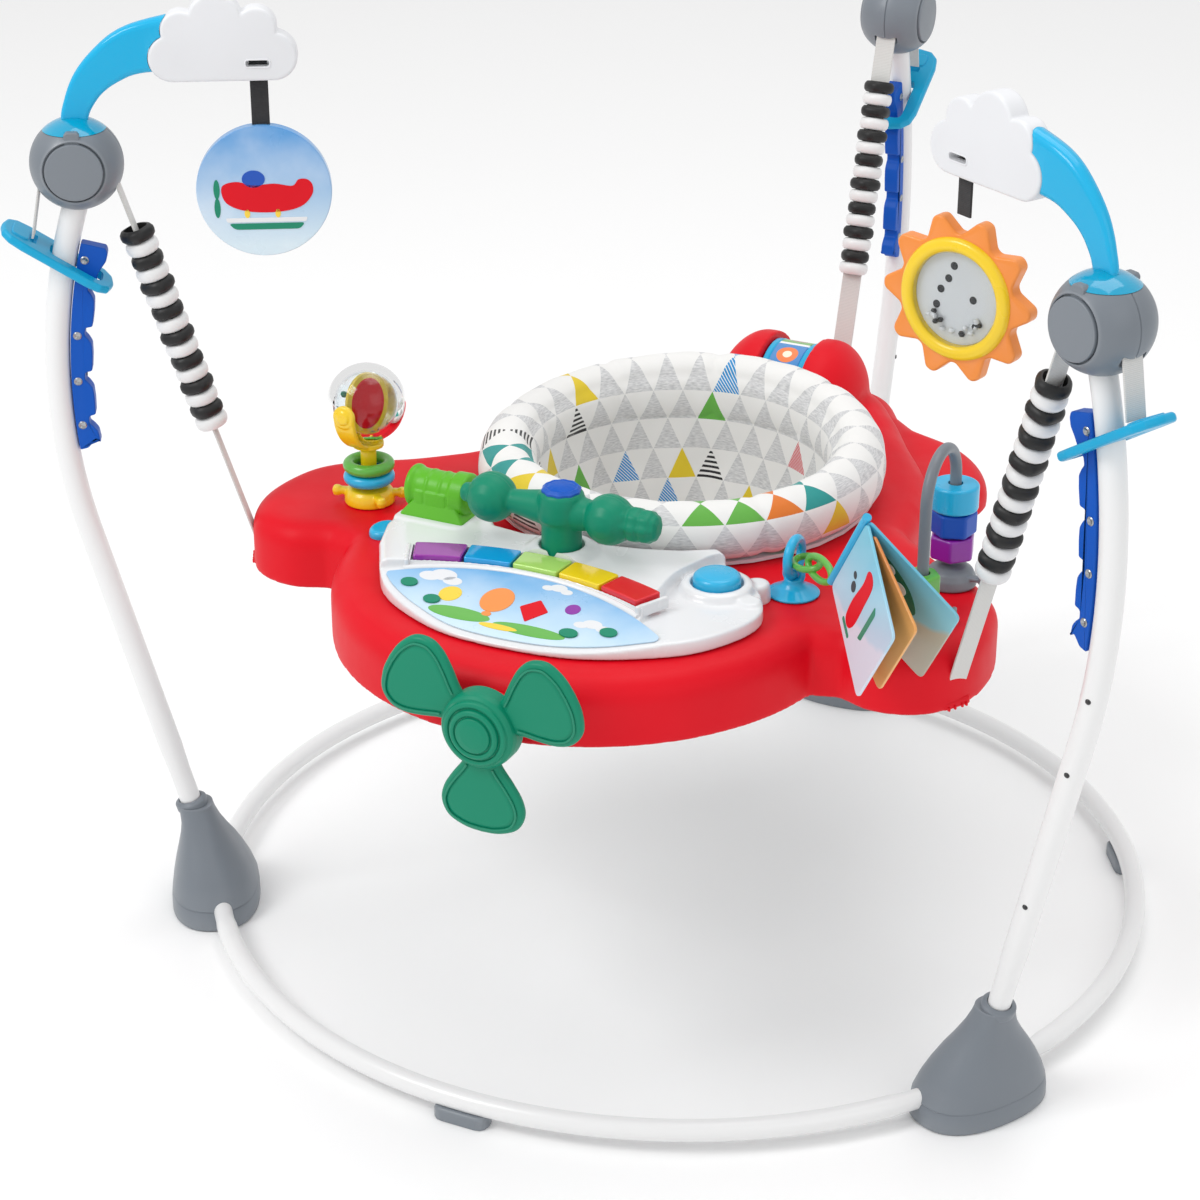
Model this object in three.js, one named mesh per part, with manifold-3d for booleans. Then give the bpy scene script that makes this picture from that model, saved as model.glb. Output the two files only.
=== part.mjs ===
// Activity jumper: a seat in an airplane-shaped toy tray, hung by three sprung straps from a round frame.
// Millimetres, +Z up, floor at z = 0. While it is modelled, the centre of the base ring is at x = y = 0 and
// the airplane's nose points to -Y; the last lines move the origin under the middle of the overall box.
import * as THREE from "three";
import { mergeVertices } from "three/addons/utils/BufferGeometryUtils.js";
import Module from "manifold-3d";

const wasm = await Module();
wasm.setup();

// ---------------------------------------------------------------- driving dimensions
const GAP = 0.3; // clearance between pieces that touch
const RING = { radius: 400, tube: 8.7, z: 18 };
const STATIONS = [
  { side: "left", angle: 210 },
  { side: "right", angle: 330 },
  { side: "back", angle: 90 },
];
const PAD = { length: 46, width: 18, height: 11 };
const FOOT = { x: 405, halfWidth: 38, halfLength: 59, height: 96, socket: 15 };
const POST = { tube: 10, footZ: 52, bendZ: 355, topZ: 641 };
const POST_ARC = { x: 4, z: 480, radius: 500 }; // the upper post and its rack curve about this point
const RACK = { topZ: 607, bottomZ: 428, depth: 17, width: 13, notchPitch: 39.5, notchDepth: 6 };
const PADDLE = { x: 497, z: 592, length: 98, width: 46, thickness: 7, tilt: 33 };
const HEAD = { x: 476, z: 668, radius: 36.5, capRadius: 24.5, capReach: 29.5 };
const SADDLE_RADIUS = 28.8; // the strap turns over this radius inside the head
const STRAP = { width: 18, thickness: 1.6, footZ: 330, lean: 17, tieX: 514, tieZ: 610 };
const SLEEVE = { start: 47, rings: 8, pitch: 22.2, radius: 13, neck: 10.8, bore: 9.6 };
const SPRING = { radius: 5.6, wall: 1.5 };
const ARM = { startWidth: 20, endWidth: 46, thickness: 17 };
const CLOUD = { x: 359, z: 752, thickness: 18 };
const TOY_STRAP = {
  x: 332, width: 14, thickness: 2, roll: 2.2, slotZ: 746, slotWidth: 18, slotHeight: 5,
  throatTop: 1.8, throatBottom: 4.8, // half the throat's depth where the strap leaves the slot and the cloud
};
const DISC = { z: 643, radius: 53, thickness: 9 };
const SUN = {
  z: 643, rays: 10, outer: 61, valley: 48, ring: 45.5, thickness: 12, windowThickness: 22,
  twist: 17, // degrees it hangs turned from its strap
};
const TRAY = { bottom: 325, top: 378, tailTop: 354, rim: 20, wall: 3, noseY: -170, noseRadius: 205 };
const LUG = { depth: 24, width: 32, height: 14 }; // the tray's eye for each strap
const SEAT = {
  opening: 150, ringOuter: 146, ringInner: 134, cushionOuter: 168, cushionInner: 120, cushionHeight: 43,
  backLift: 20,
};
const SEAT_RUN = 1.4; // radial clearance of the turning ring
const SLING = { rimZ: 382, rimRadius: 128, floorZ: 214, floorRadius: 62, wall: 3, legRadius: 40 };
const HUMP = { y: 244, halfWidth: 32, cheek: 10, halfLength: 58, height: 51, axisZ: 377 };
const DRUM = { radius: 46, length: 41 };
const CONSOLE = { back: 402, front: 372 };
const KEYS = { x: -12, y: -481, inner: 233, outer: 260, span: 24 };
const YOKE = { x: -10, y: -203, columnRadius: 17, barZ: 436, ballRadius: 20 };
const LEVER = { x: -128, y: -178, barrelZ: 421, barrelRadius: 17, barrelLength: 52, footLength: 44 };
const BUTTON = { x: 117, y: -194, radius: 18.5, travel: 4, z: 389 };
const PROPELLER = { x: 24, z: 350, y: -392, tip: 85, hub: 30, blades: 3 };
const SPINNER = { x: -219, y: -137, stem: 6.5, globeZ: 465, globeRadius: 32.5, forkRadius: 36 };
const SLIP_RING = { radius: 18, tube: 4.2, greenZ: 412, cyanZ: 398 };
const BEADS = { x: 264, frontY: -146, backY: -80, tube: 4.6, arcZ: 468 };
const RING_TOY = { x: 162, y: -150, cupRadius: 20.5, ringRadius: 14, tube: 3.8, eyeZ: 395 };
const BOOK = {
  x: 209, y: -192, z: 416, heading: -41.5, rise: 55, roll: -10, length: 88, width: 100, thickness: 2.4,
  middleTurn: 11, backTurn: 32, coverStart: 24,
};

// ---------------------------------------------------------------- solids and booleans
const rad = THREE.MathUtils.degToRad;

function solid(geometry) {
  const bare = geometry.index ? geometry.toNonIndexed() : geometry.clone();
  bare.deleteAttribute("normal");
  bare.deleteAttribute("uv");
  const merged = mergeVertices(bare, 1e-3);
  const vertProperties = merged.attributes.position.array;
  return new wasm.Manifold(new wasm.Mesh({ numProp: 3, vertProperties, triVerts: merged.index.array }));
}

function geometryOf(manifold) {
  const { vertProperties, triVerts } = manifold.getMesh();
  const geometry = new THREE.BufferGeometry();
  geometry.setAttribute("position", new THREE.BufferAttribute(vertProperties, 3));
  geometry.setIndex(new THREE.BufferAttribute(triVerts, 1));
  return geometry;
}

const cut = (body, ...tools) =>
  geometryOf(tools.reduce((rest, tool) => rest.subtract(solid(tool)), solid(body)));
const join = (...pieces) => geometryOf(pieces.map(solid).reduce((sum, piece) => sum.add(piece)));
const common = (a, b) => geometryOf(solid(a).intersect(solid(b)));

// ---------------------------------------------------------------- basic shapes
const box = (x, y, z, cx, cy, cz) => new THREE.BoxGeometry(x, y, z).translate(cx, cy, cz);
const ball = (radius, x, y, z, sides = 20) =>
  new THREE.SphereGeometry(radius, sides, sides / 2).translate(x, y, z);
const post = (radius, height, x, y, z, sides = 24) =>
  new THREE.CylinderGeometry(radius, radius, height, sides).rotateX(Math.PI / 2).translate(x, y, z);
const axle = (radius, length, x, y, z, sides = 24) =>
  new THREE.CylinderGeometry(radius, radius, length, sides).translate(x, y, z);
const crossbar = (radius, length, x, y, z, sides = 24) =>
  new THREE.CylinderGeometry(radius, radius, length, sides).rotateZ(Math.PI / 2).translate(x, y, z);

// A profile of [radius, z] points turned about the vertical axis.
const turned = (profile, sides = 24) =>
  new THREE.LatheGeometry(profile.map(([r, z]) => new THREE.Vector2(r, z)), sides).rotateX(Math.PI / 2);

// A flat plate of (x, z) outline, its thickness centred on y = 0.
function plate(shape, thickness, bevel = 0, curveSegments = 8) {
  const depth = thickness - 2 * bevel;
  const options = { depth, curveSegments, bevelEnabled: bevel > 0, bevelThickness: bevel, bevelSize: bevel };
  const geometry = new THREE.ExtrudeGeometry(shape, { ...options, bevelOffset: -bevel, bevelSegments: 1 });
  return geometry.translate(0, 0, -depth / 2).rotateX(Math.PI / 2);
}

// A flat slab of (x, y) outline standing on z.
function slab(shape, height, z, bevel = 0, curveSegments = 8) {
  const depth = height - 2 * bevel;
  const options = { depth, curveSegments, bevelEnabled: bevel > 0, bevelThickness: bevel, bevelSize: bevel };
  const geometry = new THREE.ExtrudeGeometry(shape, { ...options, bevelOffset: -bevel, bevelSegments: 1 });
  return geometry.translate(0, 0, z + bevel);
}

function roundSection(radius, sides) {
  const corners = [];
  for (let i = 0; i < sides; i++) {
    const turn = (2 * Math.PI * i) / sides;
    corners.push(new THREE.Vector2(radius * Math.cos(turn), radius * Math.sin(turn)));
  }
  return new THREE.Shape(corners);
}

const tube = (path, radius, steps, sides = 12) =>
  new THREE.ExtrudeGeometry(roundSection(radius, sides), { extrudePath: path, steps, bevelEnabled: false });

// A band along (x, z) points: the outline of the webbing seen on edge, extruded across its width.
function band(points, thickness, width) {
  const edge = (sign) =>
    points.map((point, i) => {
      const along = points[Math.min(i + 1, points.length - 1)].clone().sub(points[Math.max(i - 1, 0)]);
      along.normalize().multiplyScalar((sign * thickness) / 2);
      return new THREE.Vector2(point.x - along.y, point.y + along.x);
    });
  return plate(new THREE.Shape([...edge(-1), ...edge(1).reverse()]), width);
}

// ---------------------------------------------------------------- the scene
const jumper = new THREE.Group();
const paint = {
  white: { color: 0xf4f4f2, roughness: 0.35 },
  webbing: { color: 0xececec, roughness: 0.85 },
  slate: { color: 0x737a82, roughness: 0.45 },
  cobalt: { color: 0x1b4fc4, roughness: 0.4 },
  cyan: { color: 0x16a6d6, roughness: 0.3 },
  red: { color: 0xe80f32, roughness: 0.45 },
  grey: { color: 0xb9bdc1, roughness: 0.6 },
  teal: { color: 0x0f9177, roughness: 0.4 },
  lime: { color: 0x7cc52e, roughness: 0.4 },
  yellow: { color: 0xf7cf12, roughness: 0.4 },
  orange: { color: 0xf5882a, roughness: 0.5 },
  purple: { color: 0x8e1fa8, roughness: 0.35 },
  sky: { color: 0x9fd2ee, roughness: 0.5 },
  black: { color: 0x141416, roughness: 0.8 },
  clear: { color: 0xf2f6f8, roughness: 0.05 },
  fabric: { color: 0xeceae6, roughness: 0.9 },
  steel: { color: 0xa8a8a8, roughness: 0.35, metalness: 1 },
};

function add(parent, name, colour, geometry) {
  const mesh = new THREE.Mesh(geometry, new THREE.MeshStandardMaterial(paint[colour]));
  mesh.name = name;
  parent.add(mesh);
  return mesh;
}

// ---------------------------------------------------------------- base ring
// One third of the ring, about the middle of its span at +X, with the floor pad clipped under it.
function baseTube() {
  const half = rad(57);
  const path = new THREE.EllipseCurve(0, 0, RING.radius, RING.radius, -half, half);
  const points = path.getPoints(28).map((p) => new THREE.Vector3(p.x, p.y, RING.z));
  const arc = tube(new THREE.CatmullRomCurve3(points), RING.tube, 18, 8);
  const pad = box(PAD.width, PAD.length, PAD.height, RING.radius, 0, PAD.height / 2);
  return join(arc, pad);
}

// ------------------------------------------------------- posts and feet, in the radial plane of a station
function postPath(bottomZ, topZ) {
  const bend = Math.asin((POST.bendZ - POST_ARC.z) / POST_ARC.radius);
  const end = Math.asin((topZ - POST_ARC.z) / POST_ARC.radius);
  const onArc = (turn) =>
    new THREE.Vector3(
      POST_ARC.x + POST_ARC.radius * Math.cos(turn), 0, POST_ARC.z + POST_ARC.radius * Math.sin(turn));
  const start = onArc(bend);
  const drop = POST.bendZ - bottomZ;
  const foot = new THREE.Vector3(start.x + drop * Math.tan(bend), 0, bottomZ);
  const points = [foot, foot.clone().lerp(start, 0.33), foot.clone().lerp(start, 0.67)];
  for (let i = 0; i <= 8; i++) points.push(onArc(bend + ((end - bend) * i) / 8));
  return new THREE.CatmullRomCurve3(points, false, "chordal");
}

function footShell() {
  const rings = [
    { z: 0, wide: 1, shift: 0 },
    { z: 16, wide: 1, shift: 0 },
    { z: 38, wide: 0.93, shift: 2 },
    { z: 60, wide: 0.78, shift: 5 },
    { z: 82, wide: 0.56, shift: 10 },
    { z: FOOT.height, wide: 0.4, shift: 13 },
  ];
  const sides = 14;
  const shell = new THREE.CylinderGeometry(1, 1, 1, sides, rings.length - 1).rotateX(Math.PI / 2);
  const place = shell.attributes.position;
  for (let i = 0; i < place.count; i++) {
    const level = rings[Math.round((place.getZ(i) + 0.5) * (rings.length - 1))];
    const top = (level.z / FOOT.height) ** 2;
    const length = THREE.MathUtils.lerp(FOOT.halfLength * level.wide, FOOT.socket, top);
    const width = THREE.MathUtils.lerp(FOOT.halfWidth * level.wide, FOOT.socket, top);
    place.setXYZ(i, FOOT.x + level.shift + place.getX(i) * width, place.getY(i) * length, level.z);
  }
  return shell;
}

function foot() {
  const span = rad(14);
  const path = new THREE.EllipseCurve(0, 0, RING.radius, RING.radius, -span, span);
  const points = path.getPoints(10).map((p) => new THREE.Vector3(p.x, p.y, RING.z));
  const ringBore = tube(new THREE.CatmullRomCurve3(points), RING.tube + 5 * GAP, 6, 8);
  const socket = tube(postPath(POST.footZ - GAP, 150), POST.tube + 2 * GAP, 3, 10);
  return cut(footShell(), ringBore, socket);
}

const postTube = () => tube(postPath(POST.footZ, POST.topZ), POST.tube, 14, 10);

// The rack stands on the inner side of the post: a bar curved about the post's own centre, notched inward.
function rack() {
  const shape = new THREE.Shape();
  const outer = POST_ARC.radius - POST.tube - 2 * GAP;
  const inner = outer - RACK.depth;
  const at = (radius, z) => {
    const turn = Math.asin((z - POST_ARC.z) / POST_ARC.radius);
    return new THREE.Vector2(POST_ARC.x + radius * Math.cos(turn), POST_ARC.z + radius * Math.sin(turn));
  };
  const points = [];
  const step = (RACK.topZ - RACK.bottomZ) / 8;
  for (let z = RACK.bottomZ; z <= RACK.topZ + 1; z += step) points.push(at(outer, z));
  points.push(at(inner - 3, RACK.topZ), at(inner - 3, RACK.topZ - 16), at(inner, RACK.topZ - 24));
  for (let i = 0; i < 4; i++) {
    const notch = 577 - i * RACK.notchPitch;
    const deep = inner + RACK.notchDepth;
    points.push(at(inner, notch), at(deep, notch - 2), at(deep, notch - 8));
    points.push(at(inner, notch - 14));
  }
  points.push(at(inner + 5, RACK.bottomZ + 6));
  shape.setFromPoints(points);
  return plate(shape, RACK.width);
}

// The space that the post and rack take while the paddle slides along them.
function paddleClearance() {
  const middle = POST_ARC.radius - RACK.depth / 2 - 1.5;
  const path = new THREE.EllipseCurve(POST_ARC.x, POST_ARC.z, middle, middle, rad(-25), rad(25));
  const points = path.getPoints(24).map((p) => new THREE.Vector3(p.x, 0, p.y));
  const half = RACK.depth / 2 + POST.tube + 3.5;
  const side = POST.tube + 1.2;
  const section = new THREE.Shape([
    new THREE.Vector2(-side, -half), new THREE.Vector2(side, -half),
    new THREE.Vector2(side, half), new THREE.Vector2(-side, half),
  ]);
  const curve = new THREE.CatmullRomCurve3(points);
  return new THREE.ExtrudeGeometry(section, { extrudePath: curve, steps: 24, bevelEnabled: false });
}

function paddle() {
  const straight = (PADDLE.length - PADDLE.width) / 2;
  const shape = new THREE.Shape();
  shape.absarc(straight, 0, PADDLE.width / 2, -Math.PI / 2, Math.PI / 2);
  shape.absarc(-straight, 0, PADDLE.width / 2, Math.PI / 2, (3 * Math.PI) / 2);
  const body = slab(shape, PADDLE.thickness, -PADDLE.thickness / 2, 2, 4);
  body.rotateY(rad(-PADDLE.tilt)).translate(PADDLE.x, 0, PADDLE.z);
  const strapSlot = box(5, STRAP.width + 1, 40, STRAP.tieX, 0, STRAP.tieZ);
  return cut(body, paddleClearance(), strapSlot);
}

// ---------------------------------------------------------------- heads, straps, sleeves and springs
// Points of the webbing from the paddle, over the saddle in the head, to the tray.
function strapPoints(fromTie = true) {
  const leave = rad(180 + STRAP.lean);
  const points = fromTie ? [new THREE.Vector2(STRAP.tieX, STRAP.tieZ)] : [];
  points.push(new THREE.Vector2(HEAD.x + SADDLE_RADIUS + 1, HEAD.z - 16));
  for (let i = 0; i <= 6; i++) {
    const turn = (leave * i) / 6;
    points.push(new THREE.Vector2(
      HEAD.x + SADDLE_RADIUS * Math.cos(turn), HEAD.z + SADDLE_RADIUS * Math.sin(turn)));
  }
  const last = points[points.length - 1];
  const drop = last.y - STRAP.footZ;
  points.push(new THREE.Vector2(last.x - drop * Math.tan(rad(STRAP.lean)), STRAP.footZ));
  return points;
}

function head() {
  const shell = ball(HEAD.radius, HEAD.x, 0, HEAD.z, 14);
  const caps = axle(HEAD.capRadius, 2 * HEAD.capReach, HEAD.x, 0, HEAD.z, 16);
  const passage = band(strapPoints(), 5, STRAP.width + 3);
  const socket = tube(postPath(560, POST.topZ + GAP), POST.tube + 2 * GAP, 5, 10);
  const faces = box(100, 2 * HEAD.capReach, 100, HEAD.x, 0, HEAD.z);
  return cut(common(join(shell, caps), faces), passage, socket);
}

const strap = () => band(strapPoints(), STRAP.thickness, STRAP.width);

// Along the strap below the head: local z runs down it from where it leaves the saddle.
function alongStrap(parent) {
  const points = strapPoints();
  const leave = points[points.length - 2];
  const line = new THREE.Group();
  line.position.set(leave.x, 0, leave.y);
  line.rotation.y = rad(180 + STRAP.lean);
  parent.add(line);
  return line;
}

function sleeve() {
  const { start, rings, pitch, radius, neck, bore } = SLEEVE;
  const end = start + rings * pitch;
  const profile = [[bore, start]];
  for (let i = 0; i < rings; i++) {
    profile.push([neck, start + i * pitch], [radius, start + (i + 0.5) * pitch]);
  }
  profile.push([neck, end], [bore, end], [bore, start]);
  return turned(profile, 8);
}

// The spring lies against the flat of the webbing, inside the sleeve.
function spring() {
  const length = SLEEVE.rings * SLEEVE.pitch - 12;
  const offset = STRAP.thickness / 2 + 0.5;
  const ring = turned([
    [SPRING.radius - SPRING.wall, SLEEVE.start + 6], [SPRING.radius, SLEEVE.start + 6],
    [SPRING.radius, SLEEVE.start + 6 + length], [SPRING.radius - SPRING.wall, SLEEVE.start + 6 + length],
    [SPRING.radius - SPRING.wall, SLEEVE.start + 6],
  ], 12);
  return common(ring, box(20, 20, 400, 10 + offset, 0, 150));
}

// ---------------------------------------------------------------- toy arms and clouds
function armPath() {
  const points = [
    new THREE.Vector3(HEAD.x, 0, HEAD.z + HEAD.radius + 1),
    new THREE.Vector3(HEAD.x - 13, 0, CLOUD.z - 22),
    new THREE.Vector3(HEAD.x - 30, 0, CLOUD.z - 6),
    new THREE.Vector3(HEAD.x - 51, 0, CLOUD.z + 5),
    new THREE.Vector3(CLOUD.x + 30, 0, CLOUD.z + 11),
  ];
  return new THREE.CatmullRomCurve3(points);
}

function toyArm() {
  const curve = armPath();
  const centre = curve.getPoints(9);
  const edge = (sign) =>
    centre.map((point, i) => {
      const along = curve.getTangent(i / 9);
      const half = (sign * THREE.MathUtils.lerp(ARM.startWidth, ARM.endWidth, i / 9)) / 2;
      return new THREE.Vector2(point.x - along.z * half, point.z + along.x * half);
    });
  const banana = plate(new THREE.Shape([...edge(-1), ...edge(1).reverse()]), ARM.thickness, 3);
  const dome = new THREE.SphereGeometry(HEAD.radius - 12, 12, 6).translate(HEAD.x, 0, HEAD.z + 20);
  const clear = ball(HEAD.radius + GAP, HEAD.x, 0, HEAD.z, 14);
  const capClear = axle(HEAD.capRadius + GAP, 2 * HEAD.capReach + 1, HEAD.x, 0, HEAD.z, 16);
  return cut(join(banana, dome), clear, capClear, cloudOutline(CLOUD.thickness + 10, GAP));
}

// Five puffs over a flat base.
function cloudOutline(thickness, grow = 0) {
  const puffs = [
    { x: 38, z: -1.5, r: 18.5 }, { x: 31, z: 20, r: 15 }, { x: 4, z: 27, r: 21 },
    { x: -27, z: 21, r: 16 }, { x: -39, z: -1, r: 19 },
  ];
  const lobes = puffs.map(({ x, z, r }) =>
    plate(new THREE.Shape().absarc(CLOUD.x + x, CLOUD.z + z, r + grow, 0, 2 * Math.PI), thickness, 0, 6));
  return join(...lobes, box(77, thickness, 44 + grow, CLOUD.x - 0.5, 0, CLOUD.z + 2 - grow / 2));
}

// The slot shows the strap's rolled end; below it a flared throat lets the strap swing.
function cloud() {
  const { x, width, slotZ, slotWidth, slotHeight, throatTop, throatBottom } = TOY_STRAP;
  const top = slotZ - slotHeight / 2 + 1;
  const bottom = CLOUD.z - 21;
  const flare = new THREE.Shape([
    new THREE.Vector2(-throatTop, top), new THREE.Vector2(-throatBottom, bottom),
    new THREE.Vector2(throatBottom, bottom), new THREE.Vector2(throatTop, top),
  ]);
  const throat = plate(flare, width + 1).rotateZ(Math.PI / 2).translate(x, 0, 0);
  return cut(cloudOutline(CLOUD.thickness), box(slotWidth, 60, slotHeight, x, 0, slotZ), throat);
}

// A flat strap hanging from its rolled end, which lies in the cloud's slot.
function toyStrap(toyTop) {
  const { x, width, thickness, roll, slotZ } = TOY_STRAP;
  const hanging = box(width, thickness, slotZ - toyTop, x, 0, (slotZ + toyTop) / 2);
  return join(crossbar(roll, width, x, 0, slotZ, 12), hanging);
}

const pictureDisc = () =>
  plate(new THREE.Shape().absarc(TOY_STRAP.x, DISC.z, DISC.radius, 0, 2 * Math.PI), DISC.thickness, 1.5, 11);

function sunToy() {
  const points = [];
  for (let i = 0; i < SUN.rays; i++) {
    const ray = [[-0.42, SUN.valley], [-0.12, SUN.outer], [0.12, SUN.outer], [0.42, SUN.valley]];
    for (const [share, radius] of ray) {
      const turn = (2 * Math.PI * (i + share)) / SUN.rays;
      points.push(new THREE.Vector2(TOY_STRAP.x + radius * Math.cos(turn), SUN.z + radius * Math.sin(turn)));
    }
  }
  const rays = plate(new THREE.Shape(points), SUN.thickness);
  const toy = join(rays, axle(SUN.ring, SUN.windowThickness, TOY_STRAP.x, 0, SUN.z, 22));
  return toy.translate(-TOY_STRAP.x, 0, 0).rotateZ(rad(SUN.twist)).translate(TOY_STRAP.x, 0, 0);
}

// ---------------------------------------------------------------- tray
// The main deck, in plan: the round nose, both wings and the fuselage round the seat.
function deckOutline() {
  const onNose = (turn) =>
    [TRAY.noseRadius * Math.cos(rad(turn)), TRAY.noseY + TRAY.noseRadius * Math.sin(rad(turn))];
  const nose = [-78, -66, -54, -42, -30, -20, -11].map(onNose);
  const wing = [
    [222, -203], [256, -213], [294, -197], [315, -152], [309, -94], [282, -58], [240, -30], [200, 6],
  ];
  const rear = [[192, 60], [172, 124], [132, 188], [100, 240], [62, 286], [0, 298]];
  return mirrored(onNose(-90), nose, wing, rear);
}

// The tail deck lies lower: the tailplane and the tail's end.
function tailOutline() {
  const plane = [[164, 112], [192, 138], [206, 176], [192, 216], [160, 250], [112, 272]];
  const end = [[86, 296], [56, 336], [0, 354]];
  return mirrored([0, 60], [[120, 60]], plane, end);
}

// A closed outline from its right half: straight to each point of the first run, then a curve through the
// rest.
function mirrored(start, straight, ...smooth) {
  const half = new THREE.Path();
  half.moveTo(...start);
  for (const point of straight) half.lineTo(...point);
  for (const run of smooth) half.splineThru(run.map(([x, y]) => new THREE.Vector2(x, y)));
  const right = half.getPoints(1);
  const left = right.slice(1, -1).map((p) => new THREE.Vector2(-p.x, p.y)).reverse();
  return new THREE.Shape([...right, ...left]);
}

// An outline drawn up to its rounded shoulder.
function deck(outline, top, inset) {
  const size = TRAY.rim;
  const depth = 100;
  const geometry = new THREE.ExtrudeGeometry(outline, {
    depth, bevelEnabled: true, bevelThickness: size, bevelSize: size, bevelOffset: -size - inset,
    bevelSegments: inset ? 1 : 2,
  });
  return geometry.translate(0, 0, top - inset - size - depth);
}

// Both decks, with everything below the tray's lower edge cut away.
function trayBody(inset) {
  const decks = join(deck(deckOutline(), TRAY.top, inset), deck(tailOutline(), TRAY.tailTop, inset));
  return common(decks, box(900, 900, 200, 0, 0, TRAY.bottom + 100 - (inset ? 1 : 0)));
}

function humpSide(x) {
  const arch = new THREE.Shape();
  arch.absellipse(HUMP.y, HUMP.axisZ, HUMP.halfLength, HUMP.height, 0, Math.PI, false, 0);
  arch.lineTo(HUMP.y - HUMP.halfLength, TRAY.top - 10);
  arch.lineTo(HUMP.y + HUMP.halfLength, TRAY.top - 10);
  return plate(arch, HUMP.cheek, 0, 10).rotateZ(Math.PI / 2).translate(x, 0, 0);
}

function trayShell() {
  const cheekX = HUMP.halfWidth - HUMP.cheek / 2;
  const foot = strapPoints().pop();
  const lugs = STATIONS.map(({ angle }) =>
    box(LUG.depth, LUG.width, LUG.height, foot.x + 1, 0, TRAY.bottom + LUG.height / 2).rotateZ(rad(angle)));
  const outer = join(trayBody(0), humpSide(cheekX), humpSide(-cheekX));
  const opening = post(SEAT.opening, 200, 0, 0, 360, 32);
  const drumWell = crossbar(DRUM.radius + 2.5, DRUM.length + 1.5, 0, HUMP.y, HUMP.axisZ, 24);
  const axleBores = crossbar(5, 2 * HUMP.halfWidth - 8, 0, HUMP.y, HUMP.axisZ, 12);
  const shaftBore = axle(8.4, 60, PROPELLER.x, PROPELLER.y + 30, PROPELLER.z, 16);
  const slots = STATIONS.map(({ angle }) => strapSlot(angle));
  const hollow = cut(outer, trayBody(TRAY.wall), opening, drumWell, axleBores, shaftBore);
  return cut(join(hollow, ...lugs), ...slots);
}

// Each strap comes down the tray's side into a lug; this is the room it needs.
function strapSlot(angle) {
  const [leave, foot] = strapPoints().slice(-2);
  const below = foot.clone().lerp(leave, -0.05);
  return band([leave, below], 5, STRAP.width + 3).rotateZ(rad(angle));
}

// The grey floor of the tray closes it from below and carries the seat's turning ring.
function trayBase() {
  const foot = strapPoints().pop();
  const inset = TRAY.wall + GAP;
  const sheet = box(900, 900, 3, 0, 0, TRAY.bottom + 2.5);
  const trimmed = common(sheet, trayBody(inset));
  const collarProfile = [
    [SEAT.ringOuter + SEAT_RUN, TRAY.bottom + 1], [SEAT.opening + 6, TRAY.bottom + 1],
    [SEAT.opening + 6, TRAY.top - 8],
    [SEAT.opening - 0.5, TRAY.top - 8], [SEAT.ringOuter + SEAT_RUN, TRAY.top - 12],
    [SEAT.ringOuter + SEAT_RUN, TRAY.bottom + 1],
  ];
  const ledge = turned([
    [SEAT.ringInner - 4, TRAY.bottom + 1], [SEAT.opening + 2, TRAY.bottom + 1],
    [SEAT.opening + 2, TRAY.bottom + 5],
    [SEAT.ringInner - 4, TRAY.bottom + 5], [SEAT.ringInner - 4, TRAY.bottom + 1],
  ], 32);
  const body = join(trimmed, turned(collarProfile, 32), ledge);
  const lugRoom = STATIONS.map(({ angle }) =>
    box(LUG.depth + 1, LUG.width + 1, LUG.height + 1, foot.x + 1, 0, TRAY.bottom + LUG.height / 2)
      .rotateZ(rad(angle)));
  const middle = post(SEAT.ringInner - 4, 40, 0, 0, TRAY.bottom, 32);
  return cut(body, middle, ...lugRoom);
}

// ---------------------------------------------------------------- seat
const seatRing = () =>
  turned([
    [SEAT.ringInner, TRAY.bottom + 5.5], [SEAT.ringOuter, TRAY.bottom + 5.5], [SEAT.ringOuter, TRAY.top + 1],
    [SEAT.cushionOuter - 8, TRAY.top + 1], [SEAT.cushionOuter - 8, TRAY.top + 4],
    [SEAT.ringInner, TRAY.top + 4], [SEAT.ringInner, TRAY.bottom + 5.5],
  ], 32);

// A padded roll round the opening, highest behind the child's back.
function seatCushion() {
  const floor = TRAY.top + 4.5;
  const { cushionInner: inner, cushionOuter: outer, cushionHeight: height } = SEAT;
  const roll = turned([
    [inner + 8, floor], [outer - 10, floor], [outer, floor + 12], [outer - 2, floor + height - 15],
    [outer - 16, floor + height - 1], [inner + 16, floor + height], [inner + 2, floor + height - 13],
    [inner, floor + 12], [inner + 8, floor],
  ], 32);
  const place = roll.attributes.position;
  for (let i = 0; i < place.count; i++) {
    const lift = Math.max(0, place.getZ(i) - floor) / height;
    const behind = (1 + place.getY(i) / outer) / 2;
    place.setZ(i, place.getZ(i) + SEAT.backLift * lift * behind ** 2);
  }
  return roll;
}

function seatSling() {
  const { rimZ, rimRadius, floorZ, floorRadius, wall, legRadius } = SLING;
  const bucket = turned([
    [0, floorZ], [floorRadius, floorZ + 6], [floorRadius + 30, floorZ + 40], [rimRadius - 10, floorZ + 90],
    [rimRadius, rimZ], [rimRadius - wall, rimZ], [rimRadius - 10 - wall, floorZ + 90],
    [floorRadius + 30 - wall, floorZ + 42], [floorRadius - wall, floorZ + 10], [0, floorZ + 4],
  ], 18);
  // Each leg opening is a round bore that runs forwards and out to its own side.
  const leg = (side) => new THREE.CylinderGeometry(legRadius, legRadius, 120, 12)
    .translate(0, -70, 0)
    .rotateZ(side * rad(32))
    .translate(side * 8, -20, floorZ + 46);
  return cut(bucket, leg(-1), leg(1));
}

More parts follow.
